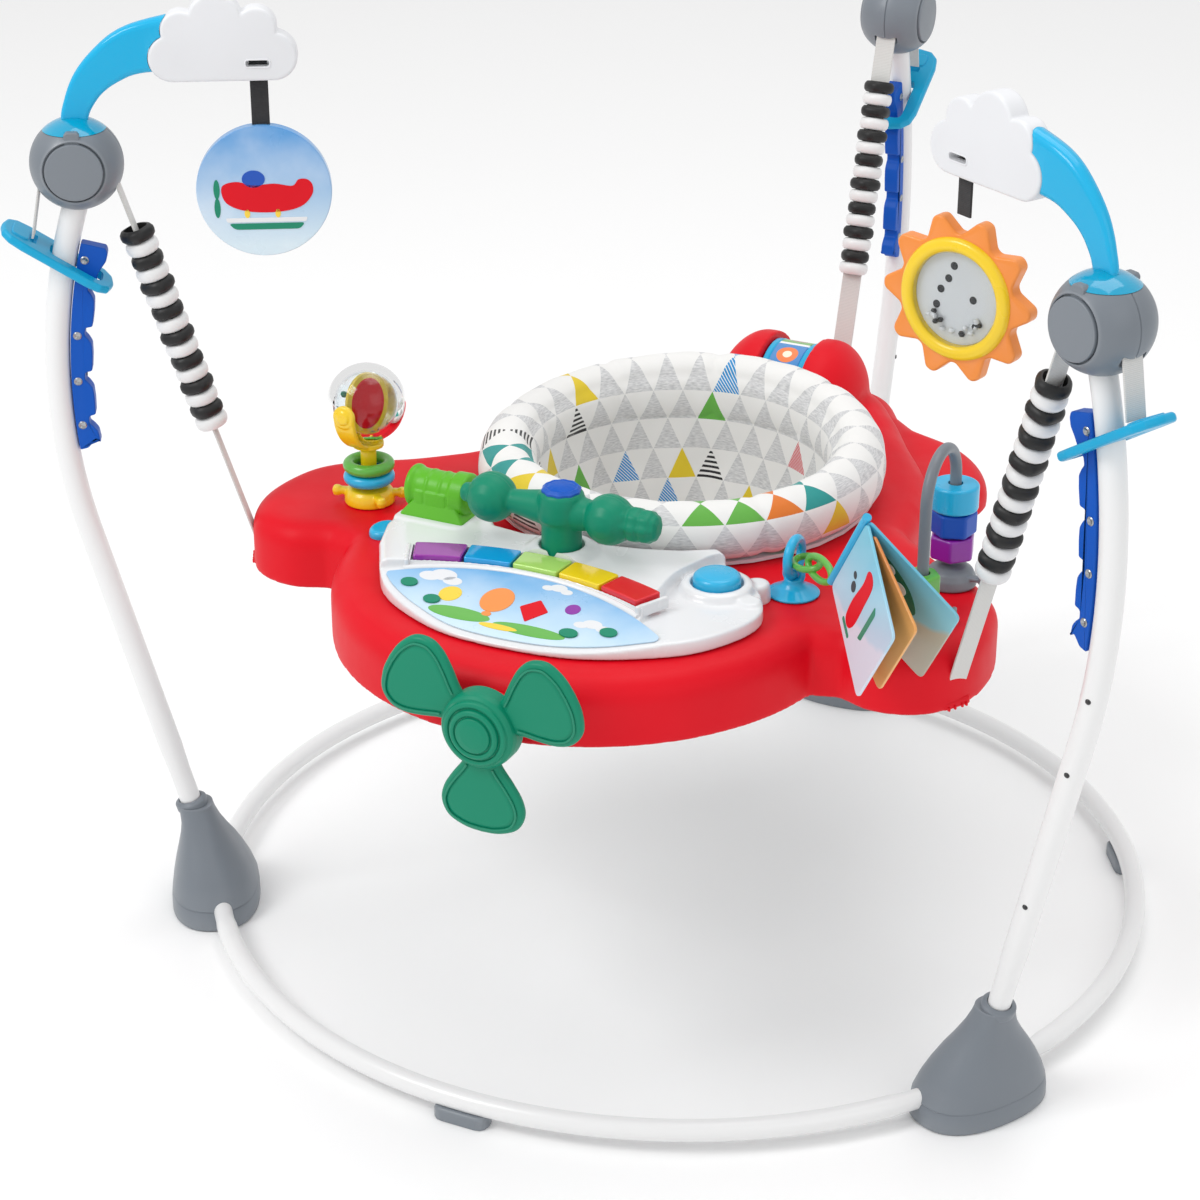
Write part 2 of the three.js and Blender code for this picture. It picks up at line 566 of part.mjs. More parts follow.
// ---------------------------------------------------------------- tray toys
function consoleOutline() {
  const seatGap = SEAT.cushionOuter + 6;
  const edge = [
    [-56, seatGap], [-75, seatGap], [-94, seatGap + 2], [-106, 190], [-114, 196], [-123, 184], [-132, 184],
  ];
  const behind = edge.map(([turn, radius]) => [radius * Math.cos(rad(turn)), radius * Math.sin(rad(turn))]);
  const through = (run) => shape.splineThru(run.map(([x, y]) => new THREE.Vector2(x, y)));
  const shape = new THREE.Shape();
  shape.moveTo(-148, -246);
  through([[-120, -290], [-81, -317], [-35, -333], [29, -333], [77, -321], [130, -288], [156, -250]]);
  through([[163, -216], [150, -186], behind[0]]);
  through(behind.slice(1));
  through([[-156, -164], [-162, -204], [-148, -246]]);
  return shape;
}

// The dashboard slopes down to the nose in front of the curved row of keys.
function dashCutter() {
  const slope = new THREE.Shape();
  slope.moveTo(-350, CONSOLE.front + 6);
  slope.lineTo(KEYS.y + KEYS.inner, CONSOLE.back - 5);
  slope.lineTo(KEYS.y + KEYS.inner, 440);
  slope.lineTo(-350, 440);
  const above = plate(slope, 600).rotateZ(Math.PI / 2);
  return common(above, post(KEYS.inner, 120, KEYS.x, KEYS.y, CONSOLE.back, 48));
}

function consoleBody() {
  const block = slab(consoleOutline(), CONSOLE.back - TRAY.top - GAP, TRAY.top + GAP, 3, 1);
  const buttonWell = post(BUTTON.radius + 0.8, 16, BUTTON.x, BUTTON.y, BUTTON.z + 7 - BUTTON.travel, 28);
  const yokeWell = post(YOKE.columnRadius + 0.6, 12, YOKE.x, YOKE.y, CONSOLE.back, 24);
  const lowRight = box(120, 120, 40, BUTTON.x + 40, BUTTON.y, BUTTON.z + 22);
  return cut(block, dashCutter(), lowRight, buttonWell, yokeWell, keyBed(GAP), leverSlot());
}

// Five coloured keys lie in one curved strip along the top of the dashboard.
function keyBed(grow) {
  const strip = new THREE.Shape();
  strip.absarc(KEYS.x, KEYS.y, KEYS.outer + grow, rad(90 - KEYS.span), rad(90 + KEYS.span), false);
  strip.absarc(KEYS.x, KEYS.y, KEYS.inner + 2 - grow, rad(90 + KEYS.span), rad(90 - KEYS.span), true);
  return slab(strip, 12, CONSOLE.back - 9 - grow, 0, 12);
}

const lightBar = () => keyBed(0);

const roundButton = () =>
  turned([
    [0, BUTTON.z - 1], [BUTTON.radius, BUTTON.z - 1], [BUTTON.radius, BUTTON.z + 12],
    [BUTTON.radius - 3, BUTTON.z + 15],
    [BUTTON.radius - 9, BUTTON.z + 16.5], [0, BUTTON.z + 17],
  ], 20).translate(BUTTON.x, BUTTON.y, 0);

function yoke() {
  const { x, y, barZ, ballRadius, columnRadius } = YOKE;
  const bottom = CONSOLE.back - 4;
  const column = post(columnRadius, barZ - bottom, x, y, (barZ + bottom) / 2, 14);
  const hub = crossbar(14, 58, x, y, barZ, 12);
  const dome = post(16, 22, x, y, barZ + 9, 14);
  const leftBall = ball(ballRadius, x - 60, y, barZ, 12);
  const leftNeck = crossbar(9, 30, x - 36, y, barZ, 12);
  const leftTip = crossbar(8, 30, x - 71, y, barZ, 12);
  const rightBall = ball(ballRadius, x + 41, y, barZ, 12);
  const rightGrip = crossbar(12, 34, x + 65, y, barZ, 12);
  return join(column, hub, dome, leftNeck, leftBall, leftTip, rightBall, rightGrip);
}

// The slot under the lever's barrel is deep and long enough for the foot to rock in.
const leverSlot = () => box(LEVER.footLength + 2, 41, 60, LEVER.x, LEVER.y, TRAY.top - 1 + 30);

function lever() {
  const { x, y, barrelZ, barrelRadius, barrelLength } = LEVER;
  const foot = box(LEVER.footLength, 20, 14, x, y, CONSOLE.back - 12);
  const stem = box(34, 16, 34, x, y, CONSOLE.back + 8);
  return join(crossbar(barrelRadius, barrelLength, x, y, barrelZ, 24), stem, foot);
}

function drum() {
  const rims = [-1, 1].map((side) =>
    crossbar(DRUM.radius, 6, side * (DRUM.length / 2 - 3), HUMP.y, HUMP.axisZ, 20));
  const barrel = crossbar(DRUM.radius - 1.5, DRUM.length - 1, 0, HUMP.y, HUMP.axisZ, 20);
  const pin = crossbar(4.5, 2 * HUMP.halfWidth - 10, 0, HUMP.y, HUMP.axisZ, 12);
  return join(barrel, pin, ...rims);
}

// Three broad blades; one points straight down at rest.
function propeller() {
  const { x, y, z, tip, hub, blades } = PROPELLER;
  const pieces = [axle(hub, 26, x, y - 10, z, 16), axle(8, 44, x, y + 18, z, 10)];
  const shape = new THREE.Shape();
  shape.moveTo(-13, -16);
  shape.bezierCurveTo(-18, -34, -38, -46, -33, -tip + 18);
  shape.bezierCurveTo(-25, -tip, 25, -tip, 33, -tip + 18);
  shape.bezierCurveTo(38, -46, 18, -34, 13, -16);
  for (let i = 0; i < blades; i++) {
    const blade = plate(shape, 9, 2.5, 3);
    pieces.push(blade.rotateY((2 * Math.PI * i) / blades).translate(x, y - 12, z));
  }
  return join(...pieces);
}

function spinnerStand() {
  const { x, y, stem, globeZ, forkRadius } = SPINNER;
  const base = turned([
    [0, TRAY.top + GAP], [20, TRAY.top + GAP], [20, TRAY.top + 10], [12, TRAY.top + 14],
    [stem, TRAY.top + 15], [stem, 426], [13, 427], [13, 432], [0, 432],
  ], 14).translate(x, y, 0);
  // The fork is a half hoop under the globe, with a pin at each end.
  const hoop = [];
  for (let turn = 172; turn <= 368; turn += 14) {
    hoop.push(new THREE.Vector2(forkRadius * Math.cos(rad(turn)), forkRadius * Math.sin(rad(turn))));
  }
  const fork = band(hoop, 4, 13).rotateZ(Math.PI / 2).translate(x, y, globeZ);
  const ends = [-1, 1].map((side) => axle(8, 5, x, y + side * forkRadius, globeZ, 12));
  const pins = [-1, 1].map((side) => axle(3, 9, x, y + side * (forkRadius - 4), globeZ, 10));
  return join(base, fork, ...ends, ...pins);
}

// A clear globe with a bore at each end of its axle.
function spinnerGlobe() {
  const { x, y, globeZ, globeRadius, forkRadius } = SPINNER;
  const bores = [-1, 1].map((side) => axle(3.4, 12, x, y + side * (forkRadius - 5), globeZ, 10));
  return cut(ball(globeRadius, x, y, globeZ, 18), ...bores);
}

const slipRing = (z) =>
  new THREE.TorusGeometry(SLIP_RING.radius - SLIP_RING.tube, SLIP_RING.tube, 6, 14)
    .translate(SPINNER.x, SPINNER.y, z);

function beadArch() {
  const { x, frontY, backY, tube: radius, arcZ } = BEADS;
  const middle = (frontY + backY) / 2;
  const span = (backY - frontY) / 2;
  const points = [new THREE.Vector3(x, frontY, TRAY.top), new THREE.Vector3(x, frontY, 430)];
  for (let i = 0; i <= 8; i++) {
    const turn = Math.PI - (Math.PI * i) / 8;
    points.push(new THREE.Vector3(x, middle + span * Math.cos(turn), arcZ + span * Math.sin(turn)));
  }
  points.push(new THREE.Vector3(x, backY, 430), new THREE.Vector3(x, backY, TRAY.top));
  const wire = tube(new THREE.CatmullRomCurve3(points, false, "chordal"), radius, 18, 7);
  const footTop = TRAY.top + 16;
  const low = TRAY.top + GAP;
  const footProfile = [[0, low], [20, low], [17, footTop - 3], [8, footTop], [0, footTop]];
  const foot = (y) => turned(footProfile, 20).translate(x, y, 0);
  const above = box(200, 300, 300, x, middle, TRAY.top + GAP + 150);
  return common(join(wire, foot(frontY), foot(backY)), above);
}

function bead(radius, height, y, z, sides) {
  const bore = BEADS.tube + 1.2;
  const half = height / 2;
  return turned([
    [bore, z - half], [radius - 3, z - half], [radius, z - half + 3],
    [radius, z + half - 3], [radius - 3, z + half],
    [bore, z + half], [bore, z - half],
  ], sides).translate(BEADS.x, y, 0);
}

function ringToyCup() {
  const { x, y, cupRadius } = RING_TOY;
  const cup = turned([
    [0, TRAY.top + GAP], [cupRadius, TRAY.top + GAP], [cupRadius, TRAY.top + 3],
    [8, TRAY.top + 8], [6, TRAY.top + 12],
    [0, TRAY.top + 12],
  ], 16).translate(x, y, 0);
  const eye = new THREE.TorusGeometry(7, 2.6, 6, 12).rotateX(Math.PI / 2).translate(x, y, RING_TOY.eyeZ);
  return join(cup, eye);
}

const ringToyRing = () =>
  new THREE.TorusGeometry(RING_TOY.ringRadius, RING_TOY.tube, 6, 14)
    .rotateY(Math.PI / 2)
    .translate(RING_TOY.x, RING_TOY.y, RING_TOY.eyeZ + RING_TOY.ringRadius);

// Board pages fan out from a spine that rises steeply from the ring toy. In the book's frame the spine runs
// along +X and a page at angle 0 runs down -Z; the cover lies at 0.
function bookPage(turn, start, width) {
  const round = 6;
  const shape = new THREE.Shape();
  shape.moveTo(0, -start);
  shape.lineTo(0, round - width);
  shape.quadraticCurveTo(0, -width, round, -width);
  shape.lineTo(BOOK.length - round, -width);
  shape.quadraticCurveTo(BOOK.length, -width, BOOK.length, round - width);
  shape.lineTo(BOOK.length, -start);
  return plate(shape, BOOK.thickness, 0, 4).rotateX(rad(turn));
}

function bookBack() {
  const spine = crossbar(3.2, BOOK.length, BOOK.length / 2, 0, 0, 10);
  return join(spine, bookPage(BOOK.middleTurn, 0, BOOK.width - 4), bookPage(BOOK.backTurn, 0, BOOK.width));
}

const bookCover = () => bookPage(0, BOOK.coverStart, BOOK.width);

// ---------------------------------------------------------------- assembly
for (const { side, angle } of STATIONS) {
  const station = new THREE.Group();
  station.rotation.z = rad(angle);
  jumper.add(station);
  add(station, `foot_${side}`, "slate", foot());
  add(station, `post_${side}`, "white", postTube());
  add(station, `height_rack_${side}`, "cobalt", rack());
  add(station, `height_paddle_${side}`, "cyan", paddle());
  add(station, `head_${side}`, "slate", head());
  add(station, `strap_${side}`, "webbing", strap());
  const line = alongStrap(station);
  add(line, `spring_sleeve_${side}`, "black", sleeve());
  add(line, `spring_${side}`, "steel", spring());
}

for (const [name, angle] of [["base_tube_front", 270], ["base_tube_right", 30], ["base_tube_left", 150]]) {
  const span = new THREE.Group();
  span.rotation.z = rad(angle);
  jumper.add(span);
  add(span, name, "white", baseTube());
}

for (const { side, angle } of STATIONS.slice(0, 2)) {
  const station = new THREE.Group();
  station.rotation.z = rad(angle);
  jumper.add(station);
  add(station, `toy_arm_${side}`, "cyan", toyArm());
  add(station, `cloud_${side}`, "white", cloud());
  const toyTop = side === "left" ? DISC.z + DISC.radius : SUN.z + SUN.outer;
  add(station, `toy_strap_${side}`, "black", toyStrap(toyTop + 1));
  if (side === "left") add(station, "picture_disc", "sky", pictureDisc());
  else add(station, "sun_toy", "orange", sunToy());
}

add(jumper, "tray_shell", "red", trayShell());
add(jumper, "tray_base", "grey", trayBase());
add(jumper, "seat_ring", "white", seatRing());
add(jumper, "seat_cushion", "fabric", seatCushion());
add(jumper, "seat_sling", "fabric", seatSling());
add(jumper, "console", "white", consoleBody());
add(jumper, "light_bar", "yellow", lightBar());
add(jumper, "round_button", "cyan", roundButton());
add(jumper, "yoke", "teal", yoke());
add(jumper, "lever", "lime", lever());
add(jumper, "picture_drum", "sky", drum());
add(jumper, "propeller", "teal", propeller());
add(jumper, "spinner_stand", "yellow", spinnerStand());
add(jumper, "spinner_globe", "clear", spinnerGlobe());
add(jumper, "slip_ring_green", "lime", slipRing(SLIP_RING.greenZ));
add(jumper, "slip_ring_cyan", "cyan", slipRing(SLIP_RING.cyanZ));
add(jumper, "bead_arch", "slate", beadArch());
add(jumper, "bead_cyan", "cyan", bead(18.5, 21, BEADS.backY, 452, 14));
add(jumper, "bead_blue", "cobalt", bead(18.5, 19, BEADS.backY, 431, 6));
add(jumper, "bead_purple", "purple", bead(18.5, 19, BEADS.backY, 411, 6));
add(jumper, "bead_green", "lime", bead(14, 19, BEADS.frontY, 405, 6));
add(jumper, "ring_toy_cup", "cyan", ringToyCup());
add(jumper, "ring_toy_ring", "cyan", ringToyRing());

const book = new THREE.Group();
book.position.set(BOOK.x, BOOK.y, BOOK.z);
book.rotation.set(rad(BOOK.roll), -rad(BOOK.rise), rad(BOOK.heading), "ZYX");
jumper.add(book);
add(book, "book_back", "sky", bookBack());
add(book, "book_cover", "sky", bookCover());

jumper.updateMatrixWorld(true);
const overall = new THREE.Box3().setFromObject(jumper, true);
jumper.position.y = -(overall.min.y + overall.max.y) / 2;

export default jumper;
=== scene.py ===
"""Activity jumper: the visual model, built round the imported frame.

Shapes are written in millimetres about the centre of the base ring, with the floor at z = 0 and the
airplane's nose towards -Y, and become metres in the row frame when a mesh is made. A station's parts are
written in its radial plane (x outwards, z up) and turned about the vertical. Materials work in metres.
"""

from math import acos, asin, atan2, copysign, cos, degrees, pi, radians, sin, sqrt, tan

import bpy
import numpy as np
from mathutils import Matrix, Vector


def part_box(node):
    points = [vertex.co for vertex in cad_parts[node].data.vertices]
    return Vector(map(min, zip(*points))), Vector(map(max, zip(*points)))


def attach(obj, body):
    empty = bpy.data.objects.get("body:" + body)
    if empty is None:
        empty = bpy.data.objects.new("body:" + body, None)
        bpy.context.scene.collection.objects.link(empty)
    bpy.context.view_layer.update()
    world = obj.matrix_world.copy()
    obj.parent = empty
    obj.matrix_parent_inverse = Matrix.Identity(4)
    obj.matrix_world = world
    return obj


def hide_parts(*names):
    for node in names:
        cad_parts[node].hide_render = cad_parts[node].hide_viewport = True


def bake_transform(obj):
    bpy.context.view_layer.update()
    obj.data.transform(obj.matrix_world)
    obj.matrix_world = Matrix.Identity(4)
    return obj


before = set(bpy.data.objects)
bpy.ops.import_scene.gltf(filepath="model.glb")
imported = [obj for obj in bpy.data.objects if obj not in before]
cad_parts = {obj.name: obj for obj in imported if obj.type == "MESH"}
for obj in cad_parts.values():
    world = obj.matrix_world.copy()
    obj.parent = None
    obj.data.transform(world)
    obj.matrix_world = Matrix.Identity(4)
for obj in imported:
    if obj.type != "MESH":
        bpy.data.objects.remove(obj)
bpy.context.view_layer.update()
RING_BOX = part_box("seat_ring")
CENTRE_Y = (RING_BOX[0].y + RING_BOX[1].y) / 2
MM = 0.001
# where the posts stand, where the toys hang, and the middle of each base tube: degrees about the vertical
STATIONS = {"left": 210, "right": 330, "back": 90}
TOY_STATIONS = {"left": 210, "right": 330}
SPANS = {"front": 270, "right": 30, "left": 150}

# ---------------------------------------------------------------- dimensions, in millimetres and degrees
RING_R, RING_TUBE, RING_Z = 400, 8.7, 18
FOOT_X, FOOT_H, FOOT_POWER, PADDLE_TILT = 405, 96, 0.84, -33
POST_R, ARC_X, ARC_Z, ARC_R = 10, 4, 480, 500
BEND_Z, POST_TOP, POST_FOOT, NECK_Z = 355, 641, 52, 128
HEAD_X, HEAD_Z, HEAD_R, CROWN = 476, 668, 36.5, 27
SADDLE_R, STRAP_FOOT_Z, STRAP_LEAN, TIE_X, TIE_Z = 28.8, 330, radians(17), 514, 610
CLOUD_X, CLOUD_Z, CLOUD_THICK, TOY_X, SLOT_Z = 359, 752, 18, 332, 746
TOY_Z, DISC_R, SUN_OUTER, SUN_VALLEY, SUN_TWIST = 643, 53, 61, 48, 17
TRAY_BOTTOM, TRAY_TOP, DECK, TAIL_TOP, SHOULDER, OPENING = 325, 378, 378.4, 354, 20, 150
HUMP_Y, HUMP_Z, HUMP_LENGTH, HUMP_HEIGHT, HUMP_HALF = 244, 377, 58, 51, 66
KEYS_AT, KEYS_INNER, KEYS_OUTER, PICTURE_R, TRIM_R = (-12, -481), 235, 260, 228, 231.5
CONSOLE_TOP, SLOPE_FRONT, SLOPE_BACK, SLOPE_Z, SLOPE = 402, -350, -246, 379.6, 0.2
YOKE_X, YOKE_Y, YOKE_Z = -10, -203, 436
LEVER_X, LEVER_Y, LEVER_Z = -128, -178, 421
BUTTON_X, BUTTON_Y = 117, -194
PROP_X, PROP_Y, PROP_Z = 24, -392, 350
BLADES_AT = (PROP_X, PROP_Y - 10, PROP_Z)
SPIN_X, SPIN_Y, GLOBE_Z, GLOBE_R, FORK_R = -219, -137, 465, 32.5, 36
ARCH_X, ARCH_FRONT, ARCH_BACK, ARCH_Z = 264, -146, -80, 468
LOOP_X, LOOP_Y, EYE_Z, RING_TOY_R = 162, -150, 395, 14
BOOK_AT, BOOK_HEADING, BOOK_RISE, BOOK_ROLL = (209, -192, 416), -41.5, 55, -10
BOOK_LENGTH, BOOK_WIDTH, BOOK_BOARD = 88, 100, 2.4
MIDDLE_TURN, BACK_TURN = 11, 32

# ---------------------------------------------------------------- a strap's blend and the camera, in metres
HEAD_TO_TRAY = ("frame", "suspension", (0, 0, 0.66), (0, 0, 0.44))
EYE_AT, EYE_AIM, LENS = (0.9103, -2.1029, 1.3410), (-0.0369, -0.1414, 0.3008), 87.73


# ---------------------------------------------------------------- meshes
def new_object(name, shape, turn=0, at=(0, 0, 0)):
    """An object from (points, faces) in millimetres, moved by at, then turned about the vertical."""
    points, faces = shape
    points = np.array(points, float) + np.array(at, float)
    c, s = cos(radians(turn)), sin(radians(turn))
    spun = points @ np.array([[c, s, 0], [-s, c, 0], [0, 0, 1]])
    data = bpy.data.meshes.new(name)
    data.from_pydata((spun * MM + np.array([0, CENTRE_Y, 0])).tolist(), [], faces)
    data.validate()
    obj = bpy.data.objects.new(name, data)
    bpy.context.scene.collection.objects.link(obj)
    return obj


def merge(*shapes):
    """Several (points, faces) in one."""
    points, faces = [], []
    for more_points, more_faces in shapes:
        first = len(points)
        points.extend(tuple(p) for p in more_points)
        faces.extend([i + first for i in face] for face in more_faces)
    return points, faces


def moved(shape, at=(0, 0, 0), spin=None, angle=0.0):
    """A shape turned by angle degrees about axis spin ("x", "y" or "z") and then moved by at."""
    points = np.array(shape[0], float)
    if spin:
        c, s = cos(radians(angle)), sin(radians(angle))
        i, j = {"x": (1, 2), "y": (2, 0), "z": (0, 1)}[spin]
        points[:, i], points[:, j] = c * points[:, i] - s * points[:, j], s * points[:, i] + c * points[:, j]
    return points + np.array(at, float), shape[1]


def stack(rings, closed=False):
    """A skin over rings of equally many points, capped at its ends unless it closes on itself."""
    count, points, faces = len(rings[0]), [tuple(p) for ring in rings for p in ring], []
    for i in range(len(rings) if closed else len(rings) - 1):
        j = (i + 1) % len(rings)
        for a in range(count):
            b = (a + 1) % count
            faces.append([i * count + a, i * count + b, j * count + b, j * count + a])
    if not closed:
        faces.append(list(range(count))[::-1])
        faces.append([(len(rings) - 1) * count + a for a in range(count)])
    return points, faces


def lathe(profile, sides=48):
    """Points (radius, z) turned about the vertical. A profile whose ends meet closes on itself."""
    points, rings = [], []
    closed = tuple(profile[0]) == tuple(profile[-1])
    for radius, z in profile[:-1] if closed else profile:
        first = len(points)
        if radius < 1e-6:
            points.append((0, 0, z))
            rings.append([first])
            continue
        for i in range(sides):
            turn = 2 * pi * i / sides
            points.append((radius * cos(turn), radius * sin(turn), z))
        rings.append(list(range(first, first + sides)))
    if closed:
        rings.append(rings[0])
    faces = []
    for low, high in zip(rings, rings[1:]):
        for i in range(sides):
            j = (i + 1) % sides
            corners = [low[i % len(low)], low[j % len(low)], high[j % len(high)], high[i % len(high)]]
            face = list(dict.fromkeys(corners))
            if len(face) > 2:
                faces.append(face)
    return points, faces


def lying(shape, along="y"):
    """A lathed shape laid down so that its axis runs along x or y."""
    return moved(shape, spin="x" if along == "y" else "y", angle=90)


def rod(profile, sides=48, at=(0, 0, 0), along="y"):
    """A lathed shape whose axis lies along x or y, moved by at."""
    return moved(lying(lathe(profile, sides), along), at)


def soften(points, radius, steps=4, closed=True):
    """Rounds the corners of an outline."""
    points = [np.array(p, float) for p in points]
    count, result = len(points), []
    for i, corner in enumerate(points):
        if not closed and i in (0, count - 1):
            result.append(corner)
            continue
        before, after = points[i - 1] - corner, points[(i + 1) % count] - corner
        a, b = np.linalg.norm(before), np.linalg.norm(after)
        reach = min(radius, 0.45 * a, 0.45 * b)
        start, end = corner + before / a * reach, corner + after / b * reach
        for k in range(steps + 1):
            t = k / steps
            result.append((1 - t) ** 2 * start + 2 * t * (1 - t) * corner + t * t * end)
    return np.array(result)


def smooth(points, per=8, closed=False):
    """A Catmull-Rom curve through the points."""
    p = np.array(points, float)
    p = np.vstack([p[-1:], p, p[:2]]) if closed else np.vstack([2 * p[0] - p[1], p, 2 * p[-1] - p[-2]])
    result = []
    for a, b, c, d in zip(p, p[1:], p[2:], p[3:]):
        for k in range(per):
            t = k / per
            result.append(0.5 * (2 * b + (c - a) * t + (2 * a - 5 * b + 4 * c - d) * t * t
                                 + (3 * b - a - 3 * c + d) * t ** 3))
    if not closed:
        result.append(p[-2])
    return np.array(result)


def circle(radius, sides=24):
    turns = np.linspace(0, 2 * pi, sides, endpoint=False)
    return np.stack([radius * np.cos(turns), radius * np.sin(turns)], axis=1)


def arc(radius, start, end, count, centre=(0, 0)):
    """Points round a centre, from start to end (degrees)."""
    turns = np.radians(np.linspace(start, end, count))
    return [(centre[0] + radius * cos(t), centre[1] + radius * sin(t)) for t in turns]


def rectangle(width, height, corner=0.5):
    """A rounded rectangle about the origin."""
    w, h = width / 2, height / 2
    return soften([(-w, -h), (w, -h), (w, h), (-w, h)], corner, 3)


def sweep(path, section, up=(0, 1, 0), closed=False, scale=None):
    """A section carried along a path, its x across up and its y along it; up is never along the path."""
    path = np.array(path, float)
    ahead, behind = np.roll(path, -1, axis=0), np.roll(path, 1, axis=0)
    if not closed:
        ahead[-1], behind[0] = path[-1], path[0]
    along = ahead - behind
    along /= np.linalg.norm(along, axis=1)[:, None]
    side = np.cross(np.array(up, float), along)
    side /= np.linalg.norm(side, axis=1)[:, None]
    top = np.cross(along, side)
    scale = np.ones(len(path)) if scale is None else np.array(scale, float)
    rings = [[p + k * (x * s + y * t) for x, y in section] for p, s, t, k in zip(path, side, top, scale)]
    return stack(rings, closed)


def inset(outline, distance):
    """The outline moved inwards (it runs anticlockwise)."""
    before, after = np.roll(outline, 1, axis=0), np.roll(outline, -1, axis=0)
    along = after - before
    along /= np.linalg.norm(along, axis=1)[:, None] + 1e-12
    return outline + distance * np.stack([-along[:, 1], along[:, 0]], axis=1)


def anticlockwise(outline):
    outline = np.array(outline, float)
    x, y = outline[:, 0], outline[:, 1]
    area = np.dot(x, np.roll(y, -1)) - np.dot(y, np.roll(x, -1))
    return outline if area > 0 else outline[::-1]


def slab(outline, low, high, edge=1.0, bottom_edge=None, steps=4):
    """An (x, y) outline standing from low to high with rounded edges."""
    outline = anticlockwise(outline)
    bottom_edge = edge if bottom_edge is None else bottom_edge
    quarter = [pi / 2 * k / steps for k in range(steps + 1)]
    layers = [(bottom_edge * (1 - sin(a)), low + bottom_edge * (1 - cos(a))) for a in quarter]
    layers += [(edge * (1 - cos(a)), high - edge * (1 - sin(a))) for a in quarter]
    return stack([[(x, y, z) for x, y in (inset(outline, shift) if shift else outline)] for shift,
                  z in layers])


def plate(outline, thickness, edge=1.0, y=0.0, steps=4):
    """An (x, z) outline with its thickness centred on y."""
    points, faces = slab(outline, -thickness / 2, thickness / 2, edge, None, steps)
    points = np.array(points)
    return np.stack([points[:, 0], y - points[:, 2], points[:, 1]], axis=1), faces


def apply(obj):
    """Bakes the modifiers into the mesh."""
    graph = bpy.context.evaluated_depsgraph_get()
    data = bpy.data.meshes.new_from_object(obj.evaluated_get(graph))
    obj.modifiers.clear()
    obj.data = data
    return obj


def boolean(obj, *tools, operation="DIFFERENCE"):
    for tool in tools:
        modifier = obj.modifiers.new("boolean", "BOOLEAN")
        modifier.object, modifier.operation, modifier.solver = tool, operation, "EXACT"
        apply(obj)
        bpy.data.objects.remove(tool)
    return obj


def melt(obj, voxel, rounds=6):
    """Melts overlapping closed shapes into one moulded skin with small fillets; voxel is in millimetres."""
    remesh = obj.modifiers.new("remesh", "REMESH")
    remesh.mode, remesh.voxel_size = "VOXEL", voxel * MM
    ease = obj.modifiers.new("ease", "SMOOTH")
    ease.factor, ease.iterations = 0.5, rounds
    return apply(obj)


def piece(obj, look, body, slot, *nodes, sharp=35, weighted=True):
    """Shades a finished shape, gives it its material, ties it to its CAD body when body is a name and hides
    the CAD nodes it stands for; slot is not used.
    """
    obj.data.materials.clear()
    obj.data.materials.append(look)
    obj.data.shade_smooth()
    if sharp:
        obj.data.set_sharp_from_angle(angle=radians(sharp))
    if weighted:
        obj.modifiers.new("normals", "WEIGHTED_NORMAL").keep_sharp = True
    if isinstance(body, str):
        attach(obj, body)
    else:
        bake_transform(obj)
    if nodes:
        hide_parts(*nodes)
    return obj


def add(name, shape, look, body, slot, *nodes, turn=0, at=(0, 0, 0), **finish):
    """A finished piece straight from its shape."""
    return piece(new_object(name, shape, turn, at), look, body, slot, *nodes, **finish)


# ---------------------------------------------------------------- materials
def rgb(red, green, blue):
    """An sRGB colour, 0 to 255, as linear values."""
    return tuple(((c / 255 + 0.055) / 1.055) ** 2.4 if c > 10 else c / 255 / 12.92
                 for c in (red, green, blue))


